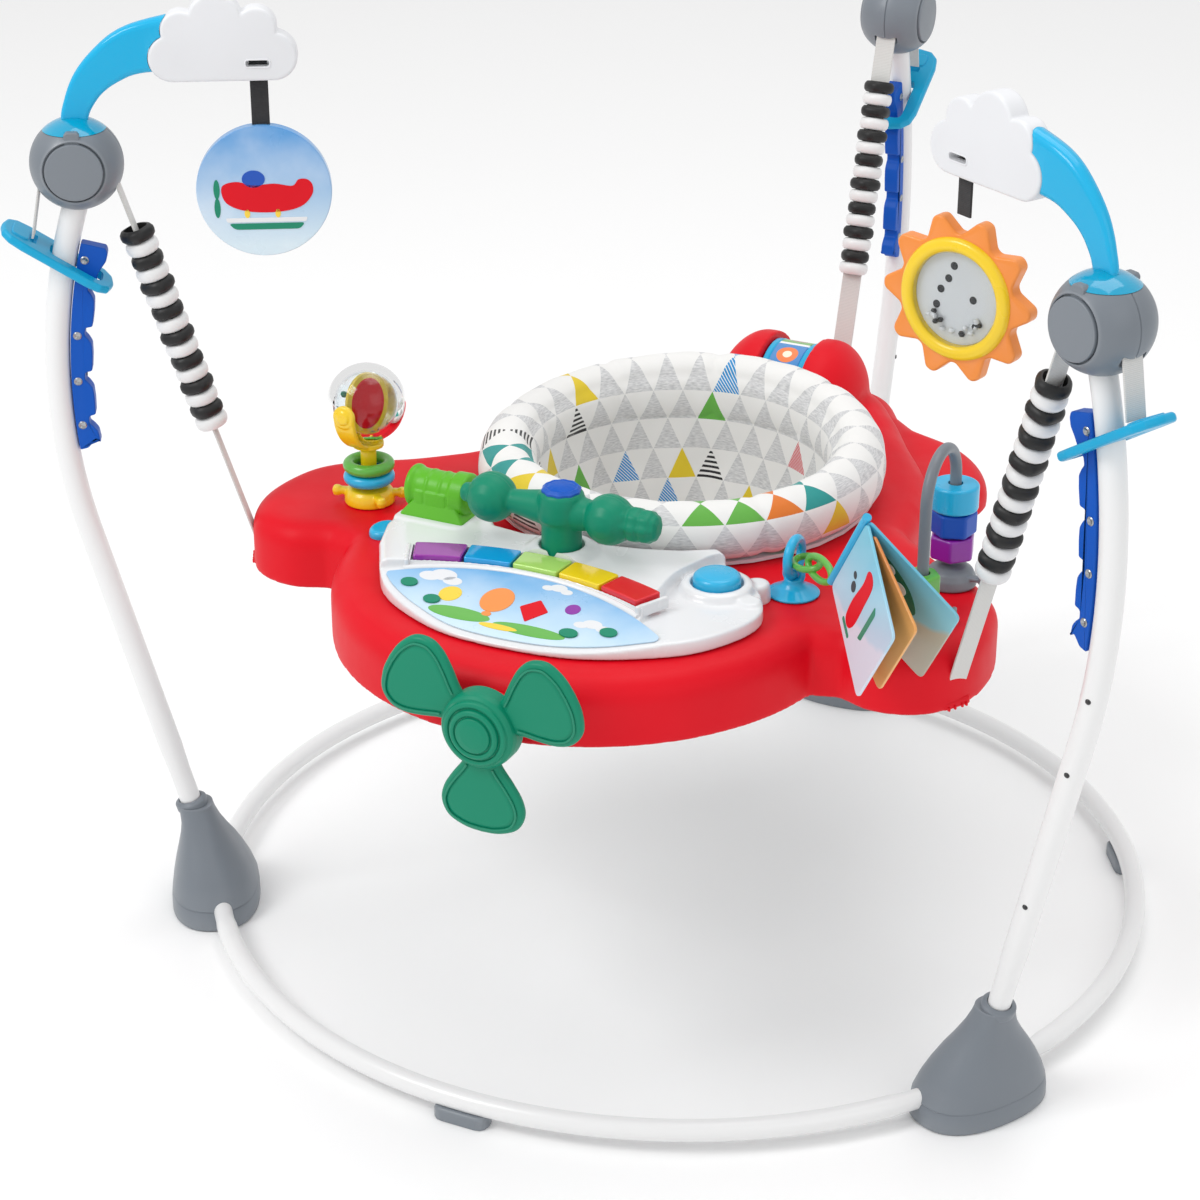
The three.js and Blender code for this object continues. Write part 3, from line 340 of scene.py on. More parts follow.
class Look:
    """A node material under construction."""

    def __init__(self, name, **sockets):
        self.material = bpy.data.materials.new(name)
        self.material.use_nodes = True
        self.nodes = self.material.node_tree.nodes
        self.shader = self.nodes["Principled BSDF"]
        for socket, value in sockets.items():
            self.shader.inputs[socket.replace("_", " ")].default_value = value

    def link(self, source, target):
        self.material.node_tree.links.new(source, target)

    def node(self, kind, *inputs, **settings):
        """A node with its inputs, numbers or other nodes' outputs, in order."""
        made = self.nodes.new("ShaderNode" + kind)
        for key, value in settings.items():
            setattr(made, key, value)
        for i, value in enumerate(inputs):
            if isinstance(value, bpy.types.NodeSocket):
                self.link(value, made.inputs[i])
            elif value is not None:
                made.inputs[i].default_value = value
        return made

    def math(self, operation, a, b=0.0):
        return self.node("Math", a, b, operation=operation).outputs[0]

    def plus(self, a, b):
        return self.math("ADD", a, b)

    def minus(self, a, b):
        return self.math("SUBTRACT", a, b)

    def times(self, a, b):
        return self.math("MULTIPLY", a, b)

    def over(self, a, limit):
        """1 where a is greater than the limit, else 0."""
        return self.math("GREATER_THAN", a, limit)

    def place(self):
        return self.node("TexCoord").outputs["Object"]

    def noise(self, scale, detail=3.0, vector=None):
        made = self.node("TexNoise", vector or self.place())
        made.inputs["Scale"].default_value, made.inputs["Detail"].default_value = scale, detail
        return made.outputs[0]

    def mix(self, share, first, second):
        """Between two colours by share."""
        made = self.node("Mix", data_type="RGBA")
        for socket, value in zip((made.inputs[0], made.inputs[6], made.inputs[7]), (share, first, second)):
            if isinstance(value, bpy.types.NodeSocket):
                self.link(value, socket)
            else:
                socket.default_value = value if isinstance(value, float) else (*value[:3], 1)
        return made.outputs[2]

    def span(self, value, low, high, to_low=0.0, to_high=1.0):
        return self.node("MapRange", value, low, high, to_low, to_high).outputs[0]

    def bump(self, height, strength, depth):
        made = self.node("Bump")
        made.inputs["Strength"].default_value, made.inputs["Distance"].default_value = strength, depth * MM
        self.link(height, made.inputs["Height"])
        self.link(made.outputs[0], self.shader.inputs["Normal"])

    def colour(self, source):
        self.link(source, self.shader.inputs["Base Color"])

    def rough(self, base, spread, scale=35):
        self.link(self.span(self.noise(scale, 5.0), 0.3, 0.7, base - spread, base + spread),
                  self.shader.inputs["Roughness"])


def plastic(name, colour, rough=0.35, coat=0.0, grain=0.06, glow=0.0, edge_lift=0.10, cloudy=0.94, shine=0.5,
            spread=0.05):
    """Moulded plastic: a faint cloudy tint, the sharpest convex edges a little lighter, fine moulded grain.
    """
    look = Look(name, Coat_Weight=coat, Coat_Roughness=0.08, Subsurface_Weight=glow, Subsurface_Scale=0.004,
                Specular_IOR_Level=shine)
    look.shader.inputs["Subsurface Radius"].default_value = (1, 1, 1)
    base = rgb(*colour)
    deep, pale = [c * cloudy for c in base], [c + (1 - c) * edge_lift for c in base]
    tint = look.mix(look.span(look.noise(9, 2.0), 0.3, 0.7), deep, base)
    # the sharpest convex edges, found by pointiness, are mixed towards a lighter colour
    edge = look.span(look.node("NewGeometry").outputs["Pointiness"], 0.52, 0.60)
    look.colour(look.mix(edge, tint, pale))
    look.rough(rough, spread)
    look.bump(look.noise(1400, 2.0), grain, 0.15)
    return look.material


def clear(name, tint=(245, 250, 252), rough=0.03, share=1.0, index=1.25):
    """Clear or tinted transparent plastic with a faint ripple."""
    look = Look(name, Transmission_Weight=share, IOR=index, Coat_Weight=0.2, Coat_Roughness=0.05)
    base = rgb(*tint)
    look.colour(look.mix(look.span(look.noise(6), 0.3, 0.7), [c * 0.96 for c in base], base))
    look.rough(rough, 0.02)
    look.bump(look.noise(60, 1.0), 0.04, 0.2)
    return look.material


def webbing(name, colour, along=(0, 0, 1)):
    """Woven strap: cross ribs along its run and a fine twill; painted shade darkens the grooves between ribs,
    and the yarn varies at random in tone.
    """
    look = Look(name, Sheen_Weight=0.25, Sheen_Roughness=0.5)
    run = look.node("VectorMath", look.place(), along, operation="DOT_PRODUCT").outputs["Value"]
    ribs = look.math("SINE", look.times(run, 2 * pi / (1.3 * MM)))
    yarn = look.noise(2500, 2.0)
    height = look.plus(look.times(ribs, 0.35), yarn)
    base = rgb(*colour)
    # painted shade: the colour is darker where the ribs dip, and it varies at random with the yarn
    look.colour(look.mix(look.span(height, -0.2, 1.2), [c * 0.78 for c in base], base))
    look.rough(0.82, 0.06, 300)
    look.bump(height, 0.35, 0.3)
    return look.material


def seat_print(name, rows_from):
    """White cloth printed with rows of triangles; rows_from(look, radius, z) is how far down a row is."""
    look = Look(name, Sheen_Weight=0.2, Sheen_Roughness=0.5)
    count, height = 30, 27 * MM
    spot = look.node("SeparateXYZ", look.place())
    x, y, z = spot.outputs[0], look.minus(spot.outputs[1], CENTRE_Y), spot.outputs[2]
    turn = look.math("ARCTAN2", x, look.times(y, -1.0))
    radius = look.math("SQRT", look.plus(look.times(x, x), look.times(y, y)))
    down = look.math("DIVIDE", rows_from(look, radius, z), height)
    row = look.math("FLOOR", down)
    up = look.minus(down, row)
    across = look.plus(look.times(turn, count / (2 * pi)), look.times(row, 0.5))
    column = look.math("FLOOR", across)
    middle = look.math("ABSOLUTE", look.minus(look.minus(across, column), 0.5))
    inside = look.math("LESS_THAN", middle, look.times(up, 0.485))
    cell = look.node("CombineXYZ", look.math("MODULO", look.plus(column, 4.0 * count), float(count)), row,
                     3.7)
    pick = look.node("TexWhiteNoise", cell.outputs[0]).outputs["Value"]
    streak = look.node("CombineXYZ", look.times(turn, 9.0), 0.0, look.times(down, 9.0))
    heather = look.mix(look.span(look.noise(3.0, 6.0, streak.outputs[0]), 0.35, 0.65), rgb(188, 188, 190),
                       rgb(224, 224, 224))
    stripe = look.over(look.math("FRACT", look.times(down, 6.0)), 0.5)
    hatch = look.over(look.math("FRACT", look.times(look.plus(down, across), 9.0)), 0.3)
    white = rgb(234, 233, 231)
    inks = [
        (0.70, rgb(222, 118, 36)), (0.745, rgb(30, 146, 142)), (0.79, rgb(224, 196, 40)),
        (0.835, rgb(98, 172, 68)),
        (0.88, look.mix(hatch, white, rgb(206, 58, 72))), (0.915, look.mix(hatch, white, rgb(40, 140, 200))),
        (0.955, look.mix(stripe, white, rgb(34, 34, 36))),
    ]
    shade = heather
    for start, ink in inks:
        shade = look.mix(look.over(pick, start), shade, ink)
    look.colour(look.mix(inside, white, shade))
    look.rough(0.85, 0.05, 400)
    weave = look.times(look.math("SINE", look.times(turn, 900.0)),
                      look.math("SINE", look.times(down, 170.0)))
    look.bump(look.plus(weave, look.noise(700, 3.0)), 0.25, 0.25)
    return look.material


def drum_print(name):
    """Picture panels round the drum, framed in white: plain round fruit shapes on blue, green and orange."""
    look = Look(name, Coat_Weight=0.5, Coat_Roughness=0.1)
    spot = look.node("SeparateXYZ", look.place())
    x, y, z = spot.outputs
    y = look.minus(y, CENTRE_Y + HUMP_Y * MM)
    z = look.minus(z, HUMP_Z * MM)
    panels = 8
    across = look.times(look.plus(look.math("ARCTAN2", y, z), pi), panels / (2 * pi))
    panel = look.math("FLOOR", across)
    u = look.minus(look.math("FRACT", across), 0.5)
    v = look.math("DIVIDE", x, 35 * MM)
    framed = look.over(look.math("MAXIMUM", look.math("ABSOLUTE", u), look.math("ABSOLUTE", v)), 0.44)
    reach = look.math("SQRT", look.plus(look.times(u, u), look.times(v, v)))
    fruit = look.math("LESS_THAN", reach, 0.28)
    core = look.math("LESS_THAN", reach, 0.12)
    third = look.math("MODULO", panel, 3.0)
    ground = look.mix(look.over(third, 0.5), rgb(40, 130, 200), rgb(96, 172, 60))
    ground = look.mix(look.over(third, 1.5), ground, rgb(250, 205, 70))
    motif = look.mix(look.over(third, 0.5), rgb(240, 120, 40), rgb(150, 96, 60))
    motif = look.mix(look.over(third, 1.5), motif, rgb(214, 50, 60))
    motif = look.mix(core, motif, rgb(250, 236, 210))
    picture = look.mix(framed, look.mix(fruit, ground, motif), rgb(246, 246, 246))
    look.colour(look.mix(look.span(look.noise(50), 0.2, 0.8, 0.0, 0.08), picture, rgb(255, 255, 255)))
    look.rough(0.35, 0.05)
    look.bump(look.noise(1200), 0.05, 0.1)
    return look.material


def sky_print(name, low, high, axis=2, top=(58, 150, 216), bottom=(236, 244, 250)):
    """Printed sky, pale at the low end of an axis and blue at the high end, with soft cloud wisps."""
    look = Look(name, Coat_Weight=0.6, Coat_Roughness=0.08)
    spot = look.node("SeparateXYZ", look.place()).outputs[axis]
    share = look.span(spot, low, high)
    wisp = look.span(look.noise(14, 4.0), 0.45, 0.75, 0.0, 0.35)
    look.colour(look.mix(wisp, look.mix(share, rgb(*bottom), rgb(*top)), rgb(246, 250, 252)))
    look.rough(0.3, 0.04)
    look.bump(look.noise(900), 0.04, 0.1)
    return look.material


WHITE = plastic("paint_white", (234, 234, 234), 0.3, 0.25, 0.01, edge_lift=0.0, cloudy=0.99, spread=0.01)
SLATE = plastic("plastic_slate", (118, 125, 133), 0.42, 0.1, 0.12)
COBALT = plastic("plastic_cobalt", (0, 84, 186), 0.42, 0.0, edge_lift=0.03, shine=0.2)
PADDLE = plastic("plastic_paddle", (0, 164, 210), 0.36, 0.05, edge_lift=0.03, shine=0.3)
ARM = plastic("plastic_arm", (0, 176, 224), 0.2, 0.25, 0.02, glow=0.2, edge_lift=0.02, shine=0.3)
DOME = plastic("plastic_dome", (0, 160, 200), 0.07, 0.7, 0.0, glow=0.2, edge_lift=0.0, shine=0.4)
CLOUD = plastic("plastic_cloud", (229, 230, 233), 0.45, 0.1, 0.08, edge_lift=0.0)
RED = plastic("plastic_red", (222, 0, 26), 0.5, 0.0, 0.10, edge_lift=0.01, shine=0.22)
GREY = plastic("plastic_grey", (150, 155, 160), 0.5, 0.0, 0.12)
BEZEL = plastic("plastic_bezel", (231, 232, 234), 0.24, 0.4, 0.03, edge_lift=0.0)
CYAN = plastic("plastic_cyan", (4, 174, 222), 0.3, 0.3, edge_lift=0.05)
TEAL = plastic("plastic_teal", (0, 134, 102), 0.42, 0.0, 0.10, edge_lift=0.03, shine=0.3)
LIME = plastic("plastic_lime", (92, 180, 30), 0.38, 0.05, edge_lift=0.04, shine=0.35)
GREEN = plastic("plastic_green", (88, 176, 52), 0.34, 0.3)
YELLOW = plastic("plastic_yellow", (246, 208, 20), 0.3, 0.35)
ORANGE = plastic("plastic_orange", (242, 140, 44), 0.38, 0.2)
PURPLE = plastic("plastic_purple", (138, 14, 160), 0.32, 0.25, edge_lift=0.05)
BLUE = plastic("plastic_blue", (4, 78, 182), 0.34, 0.1, edge_lift=0.04, shine=0.25)
RUBBER = plastic("sleeve_black", (12, 12, 13), 0.46, 0.0, 0.2, edge_lift=0.02, shine=0.4)
RIB = plastic("sleeve_white", (232, 232, 232), 0.42, 0.1, 0.1, edge_lift=0.0)
CLEAR = clear("plastic_clear")
PANE = clear("plastic_pane", (250, 252, 253), 0.02, 1.0, 1.05)
STRAP = webbing("webbing_white", (222, 221, 218))
LOOP = webbing("webbing_black", (40, 40, 42))
STEEL = plastic("spring_steel", (170, 172, 175), 0.3, 0.0, 0.05)
STEEL.node_tree.nodes["Principled BSDF"].inputs["Metallic"].default_value = 1.0
INK = plastic("ink_black", (30, 30, 32), 0.4, 0.2, edge_lift=0.0)


# ---------------------------------------------------------------- frame: ring, feet, posts, racks, paddles
def base_tubes():
    """Three arcs, necked where they slide into the feet, each with a small floor pad."""
    for side, angle in SPANS.items():
        path = [(x, y, RING_Z) for x, y in arc(RING_R, -57, 57, 96)]
        neck = [0.91 if abs(t) > 49.3 else 1 for t in np.linspace(-57, 57, 96)]
        add(f"ring_arc_{side}", sweep(path, circle(RING_TUBE, 28), (0, 0, 1), scale=neck), WHITE, "frame",
            "white_tube", f"base_tube_{side}", turn=angle)
        add(f"floor_pad_{side}", slab(rectangle(20, 46, 9), 0, 11.5, 3, 1), SLATE, "frame", "foot_slate",
            turn=angle, at=(RING_R, 0, 0))


def post_path(count=40):
    """The post's middle line: straight from the foot, then an arc up to the head."""
    bend = asin((BEND_Z - ARC_Z) / ARC_R)
    end = asin((POST_TOP - ARC_Z) / ARC_R)
    start = np.array([ARC_X + ARC_R * cos(bend), 0, ARC_Z + ARC_R * sin(bend)])
    foot = start + (BEND_Z - POST_FOOT) * np.array([tan(bend), 0, -1])
    path = [foot + (start - foot) * k / 12 for k in range(12)]
    for k in range(count + 1):
        turn = bend + (end - bend) * k / count
        path.append(np.array([ARC_X + ARC_R * cos(turn), 0, ARC_Z + ARC_R * sin(turn)]))
    return path


def foot_shape():
    """A rounded boot over the ring, drawn up to the post's socket, with a fine seam round it."""
    levels = [(0, 0.97, 0), (1.5, 1.0, 0), (10, 1.005, 0), (17, 1.0, 0), (18, 0.985, 0), (19, 1.0, 0),
              (30, 0.96, 1),
              (42, 0.90, 2.5), (54, 0.82, 4.2), (66, 0.70, 6.5), (78, 0.56, 9), (88, 0.45, 11.5),
              (94, 0.39, 13),
              (96, 0.36, 13.4)]
    rings = []
    for z, wide, shift in levels:
        top = (z / FOOT_H) ** 2
        length = (1 - top) * 59 * wide + top * 15
        width = (1 - top) * 38 * wide + top * 15
        ring = []
        for c, s in circle(1, 64):
            ring.append((FOOT_X + shift + copysign(abs(c) ** FOOT_POWER, c) * width,
                         copysign(abs(s) ** FOOT_POWER, s) * length, z))
        rings.append(ring)
    return stack(rings)


def feet():
    for side, angle in STATIONS.items():
        add(f"boot_{side}", foot_shape(), SLATE, "frame", "foot_slate", f"foot_{side}", turn=angle, sharp=50)
        lip = soften([(9.5, 92), (13.6, 92), (13.8, 99), (10.8, 101), (9.5, 101)], 1.2)
        socket = moved(moved(lathe([*lip, lip[0]], 40), (0, 0, -FOOT_H)), spin="y", angle=14.5)
        add(f"boot_collar_{side}", moved(socket, (421.3, 0, FOOT_H)), SLATE, "frame",
            "foot_slate", turn=angle)


def posts():
    """White tube, necked below a joint just above the foot, with two dark rivets."""
    for side, angle in STATIONS.items():
        path = post_path()
        neck = [0.9 if p[2] < NECK_Z else 1 for p in path]
        add(f"upright_{side}", sweep(path, circle(POST_R, 32), scale=neck), WHITE, "frame", "white_tube",
            f"post_{side}", turn=angle)
        rivets = []
        for z in (214, 330, 396):
            near = min(post_path(120), key=lambda p: abs(p[2] - z))
            rivet = rod([(0, 1.0), (1.6, 0.9), (2.4, 0), (2.4, -1.5), (0, -1.5)], 16)
            rivets.append(moved(rivet, (near[0] + 3, -POST_R + 0.6, near[2])))
        add(f"rivets_{side}", merge(*rivets), INK, "frame", "foot_slate", turn=angle)


def rack_outline():
    """A strip that follows the post's arc, with four notches on its inner edge for the paddle."""
    outer = ARC_R - POST_R - 0.6
    inner = outer - 17

    def at(radius, z):
        turn = asin((z - ARC_Z) / ARC_R)
        return ARC_X + radius * cos(turn), ARC_Z + radius * sin(turn)

    points = [at(outer, z) for z in np.linspace(428, 607, 24)]
    points += [at(inner - 3, 607), at(inner - 5, 603), at(inner - 5, 596), at(inner - 2, 589), at(inner, 583)]
    for i in range(4):
        notch = 577 - i * 39.5
        points += [at(inner, notch), at(inner + 5.5, notch - 1.5), at(inner + 6, notch - 8),
                   at(inner + 3, notch - 11),
                   at(inner, notch - 16), at(inner - 0.6, notch - 26)]
    points += [at(inner + 3, 436), at(inner + 10, 429)]
    return soften(points, 1.6, 3)


def racks():
    for side, angle in STATIONS.items():
        add(f"rack_{side}", plate(rack_outline(), 13, 1.4), COBALT, "frame", "rack_cobalt",
            f"height_rack_{side}", turn=angle)
        screws = []
        for z in (450, 489, 529, 594):
            turn = asin((z - ARC_Z) / ARC_R)
            reach = ARC_R - POST_R - 6
            screw = rod([(0, 0.3), (1.1, 0.4), (2.6, 1.2), (3.4, 0.6), (3.4, -1), (0, -1)], 20)
            for face in (-1, 1):
                flip = moved(screw, spin="z", angle=180 if face > 0 else 0)
                screws.append(moved(flip, (ARC_X + reach * cos(turn), face * 6.2, ARC_Z + reach * sin(turn))))
        add(f"rack_screws_{side}", merge(*screws), STEEL, "frame", "spring_steel", turn=angle)


def paddles():
    """A long thin ring that hooks on the rack; its window clears the post and rack all the way down."""
    middle = ARC_R - 10
    for side, angle in STATIONS.items():
        outline = soften(rectangle(98, 46, 22.5), 1, 2)
        body = moved(slab(outline, -3.5, 3.5, 2.6), (497, 0, 592), "y", PADDLE_TILT)
        paddle = new_object(f"paddle_{side}", body, angle)
        path = [(ARC_X + middle * cos(t), 0, ARC_Z + middle * sin(t))
                for t in np.radians(np.linspace(2, 25, 24))]
        window = new_object("window", sweep(path, rectangle(44, 22.6, 6)), angle)
        slot = new_object("slot", slab(rectangle(5, 19.5, 1.5), 580, 640), angle, (TIE_X, 0, 0))
        boolean(paddle, window, slot)
        piece(paddle, PADDLE, f"paddle_{side}", "paddle_cyan", f"height_paddle_{side}")
        rib = moved(slab(rectangle(15, 26, 5), 3.2, 5.2, 1), (525.5, 0, 610), "y", PADDLE_TILT)
        add(f"paddle_rib_{side}", rib, PADDLE, f"paddle_{side}", "paddle_cyan", turn=angle)


# ---------------------------------------------------------------- heads, straps and sleeves
def strap_path():
    """Webbing from the paddle over the saddle in the head and down to the tray, in the radial plane."""
    path = [(TIE_X, 0, TIE_Z), (HEAD_X + SADDLE_R + 1, 0, HEAD_Z - 16)]
    for turn in np.linspace(0, pi + STRAP_LEAN, 25):
        path.append((HEAD_X + SADDLE_R * cos(turn), 0, HEAD_Z + SADDLE_R * sin(turn)))
    x, _, z = path[-1]
    drop = z - STRAP_FOOT_Z
    path += [(x - drop * k / 30 * tan(STRAP_LEAN), 0, z - drop * k / 30) for k in range(1, 31)]
    return path


def heads():
    """A ball with a flat button on each cheek, a seam round its middle, and strap mouths below."""
    for side, angle in STATIONS.items():
        profile = [(0, 29.6), (21.2, 29.2), (22.2, 28.6), (22.5, 27.6), (22.6, 24.6), (23.7, 24.6),
                   (23.8, 26.6)]
        for polar in np.linspace(asin(24.6 / HEAD_R), pi / 2 - 0.02, 14):
            profile.append((HEAD_R * sin(polar), HEAD_R * cos(polar)))
        profile.append((HEAD_R - 0.8, 0))
        profile += [(r, -h) for r, h in profile[-2::-1]]
        ball = new_object(f"knuckle_{side}", rod(profile, 72, (HEAD_X, 0, HEAD_Z)), angle)
        mouths = [sweep(strap_path()[:3], rectangle(6, 22, 2)),
                  sweep(strap_path()[23:32], rectangle(6, 22, 2))]
        tools = [new_object("mouth", mouth, angle) for mouth in mouths]
        if side != "back":
            crown = slab(rectangle(90, 90, 3), HEAD_Z + CROWN, HEAD_Z + 60)
            tools.append(new_object("crown", crown, angle, (HEAD_X, 0, 0)))
        boolean(ball, *tools)
        piece(ball, SLATE, "frame", "foot_slate", f"head_{side}")


def straps():
    """Three lengths of each strap; the outer one is listed with the paddle, the inner two with height and
    bounce, but each is fixed where it is made.
    """
    run = strap_path()
    crest = 8
    joint = next(i for i, p in enumerate(run) if i > 20 and p[2] < 452)
    for side, angle in STATIONS.items():
        lengths = (("outer", run[:crest + 1], ("frame", f"paddle_{side}", (0, 0, 0.668), (0, 0, 0.618))),
                   ("upper", run[crest:joint + 1], HEAD_TO_TRAY),
                   ("lower", run[joint:], ("suspension", "tray", (0, 0, 0.445), (0, 0, 0.345))))
        for name, path, bend in lengths:
            nodes = (f"strap_{side}",) if name == "upper" else ()
            add(f"webbing_{name}_{side}", sweep(path, rectangle(1.8, 18, 0.7)), STRAP, bend, "webbing_white",
                *nodes, turn=angle)


def wavy(shape, amount, lobes, phase):
    """Slightly uneven rings, as soft cuffs are."""
    points = np.array(shape[0], float)
    turn = np.arctan2(points[:, 1], points[:, 0]) * lobes + phase
    points[:, :2] *= (1 + amount * np.cos(turn))[:, None]
    return points, shape[1]


def sleeves():
    """Sixteen soft cuffs on each strap, black and white in turn, round a coil spring."""
    pitch, start = 11.1, 47
    leave, down = strap_path()[26], 180 + degrees(STRAP_LEAN)
    dark = [(9.4, 0.4), (11.6, 0.8), (13.3, 3.2), (13.6, 5.4), (13.2, 8.2), (11.4, 10.4),
            (9.4, 10.7), (9.4, 0.4)]
    pale = [(9.4, 0.2), (11.0, 0.4), (12.6, 1.8), (13.3, 3.8), (13.4, 6.0), (12.8, 8.6), (11.2, 10.6),
            (9.4, 10.9), (9.4, 0.2)]
    for side, angle in STATIONS.items():
        cuffs = {0: [], 1: []}
        for i in range(16):
            ring = wavy(lathe(pale if i % 2 else dark, 40), 0.012 if i % 2 else 0.045, 3
                        if i % 2 else 4, 1.7 * i)
            cuffs[i % 2].append(moved(ring, (0, 0, start + i * pitch)))
        for part, name, look in ((0, "black", RUBBER), (1, "white", RIB)):
            shape = moved(merge(*cuffs[part]), leave, "y", down)
            nodes = (f"spring_sleeve_{side}",) if part == 0 else ()
            add(f"cuffs_{name}_{side}", shape, look, HEAD_TO_TRAY, "sleeve_stripe", *nodes,
                turn=angle, sharp=50)
        turns = np.linspace(0, 2 * pi * 26, 26 * 14)
        coil = [(6.3 * cos(t), 6.3 * sin(t), start + 5 + 168 * i / len(turns)) for i, t in enumerate(turns)]
        shape = moved(sweep(coil, circle(0.8, 8), (0, 0, 1)), leave, "y", down)
        add(f"coil_{side}", shape, STEEL, HEAD_TO_TRAY, "spring_steel", f"spring_{side}", turn=angle, sharp=0)


# ---------------------------------------------------------------- toy arms, clouds and hanging toys
def arms():
    """A curved arm that widens towards its cloud, a glossy dome on the head, and two latches."""
    control = [(HEAD_X, 0, HEAD_Z + 20), (HEAD_X - 2, 0, HEAD_Z + 40), (HEAD_X - 13, 0, CLOUD_Z - 22),
               (HEAD_X - 30, 0, CLOUD_Z - 6), (HEAD_X - 51, 0, CLOUD_Z + 5), (CLOUD_X + 30, 0, CLOUD_Z + 11)]
    path = smooth(control, 10)
    width = np.interp(np.linspace(0, 1, len(path)), [0, 0.25, 0.5, 0.75, 1], [0.44, 0.48, 0.64, 0.82, 1.0])
    for side, angle in TOY_STATIONS.items():
        arm = new_object(f"arm_{side}", sweep(path, rectangle(45, 16.4, 7), scale=width), angle)
        boolean(arm, *[new_object("puff", part, angle, (CLOUD_X, 0, CLOUD_Z))
                       for part in cloud_parts(40, 0.3, 0)])
        piece(arm, ARM, "frame", "arm_cyan", f"toy_arm_{side}", sharp=50)
        top = HEAD_R + 0.3
        turns = np.linspace(acos((CROWN + 0.4) / top), 0.0, 14)
        cap = [(0, CROWN + 0.4), *[(top * sin(t), top * cos(t)) for t in turns]]
        add(f"arm_dome_{side}", lathe(cap, 56), DOME, "frame", "arm_cyan", turn=angle, at=(HEAD_X, 0, HEAD_Z))
        latches = []
        for face in (-1, 1):
            tab = plate(soften([(-6, 18), (6, 18), (6, 29), (4, 31), (-4, 31), (-6, 29)], 1), 7, 1.2)
            latches.append(moved(tab, (HEAD_X, face * 22.5, HEAD_Z)))
        add(f"arm_latch_{side}", merge(*latches), SLATE, "frame", "foot_slate", turn=angle)


def cloud_parts(thickness, grow=0, edge=2.2):
    """Five puffs round a flat-based middle."""
    puffs = [(38, -1.5, 18.5), (31, 20, 15), (4, 27, 21), (-27, 21, 16), (-39, -1, 19)]
    parts = [plate(ellipse(x, z, radius + grow, radius + grow, 64), thickness, edge) for x, z,
             radius in puffs]
    base = [(-39, -20 - grow), (38, -20 - grow), (38, 24), (-39, 24)]
    return [*parts, plate(base, thickness, edge)]


def clouds():
    """White puffs with a rounded rim and a lipped slot; a flared throat below lets the strap swing."""
    for side, angle in TOY_STATIONS.items():
        cloud = new_object(f"puff_{side}", merge(*cloud_parts(CLOUD_THICK)), angle, (CLOUD_X, 0, CLOUD_Z))
        melt(cloud, 0.9, 4)
        slot = new_object("slot", plate(rectangle(18, 5, 2.3), 60, 0), angle, (TOY_X, 0, SLOT_Z))
        flare = [(-4.8, CLOUD_Z - 21), (4.8, CLOUD_Z - 21), (1.8, SLOT_Z - 1), (-1.8, SLOT_Z - 1)]
        throat = moved(plate(flare, 15, 0), (TOY_X, 0, 0), "z", 90)
        boolean(cloud, slot, new_object("throat", throat, angle))
        piece(cloud, CLOUD, "frame", "cloud_white", f"cloud_{side}", sharp=60)
        rim = []
        for face in (-1, 1):
            ring = [(x, 0, z) for x, z in rectangle(19.2, 6.2, 2.9)]
            lip = sweep(ring, circle(0.7, 8), (0, 1, 0), True)
            rim.append(moved(lip, (TOY_X, face * CLOUD_THICK / 2, SLOT_Z)))
        add(f"puff_slot_{side}", merge(*rim), CLOUD, "frame", "cloud_white", turn=angle)


def toy_straps():
    """Each strap hangs from its rolled end in the cloud's slot, seen there as a dark band."""
    for side, angle, top, body in (("left", 210, TOY_Z + DISC_R, "disc_toy"),
                                   ("right", 330, TOY_Z + SUN_OUTER, "sun_toy")):
        roll = rod([(0, -7), (1.6, -7), (2.2, -6.4), (2.2, 6.4), (1.6, 7), (0, 7)], 24,
                   (TOY_X, 0, SLOT_Z), "x")
        path = [(TOY_X, 0, z) for z in np.linspace(SLOT_Z, top - 1, 12)]
        hang = sweep(path, rectangle(2.0, 14, 0.8), (1, 0, 0))
        add(f"loop_{side}", merge(roll, hang), LOOP, body, "webbing_black", f"toy_strap_{side}", turn=angle)


def raised(outline, face, depth=0.5, at=(0, 0, 0)):
    """A thin printed shape standing just proud of a face at y = face."""
    sign = 1 if face > 0 else -1
    return moved(plate(outline, depth, 0.12, face + sign * 0.05, 2), at)


def ellipse(x, z, a, b, sides=32):
    return [(x + a * c, z + b * s) for c, s in circle(1, sides)]


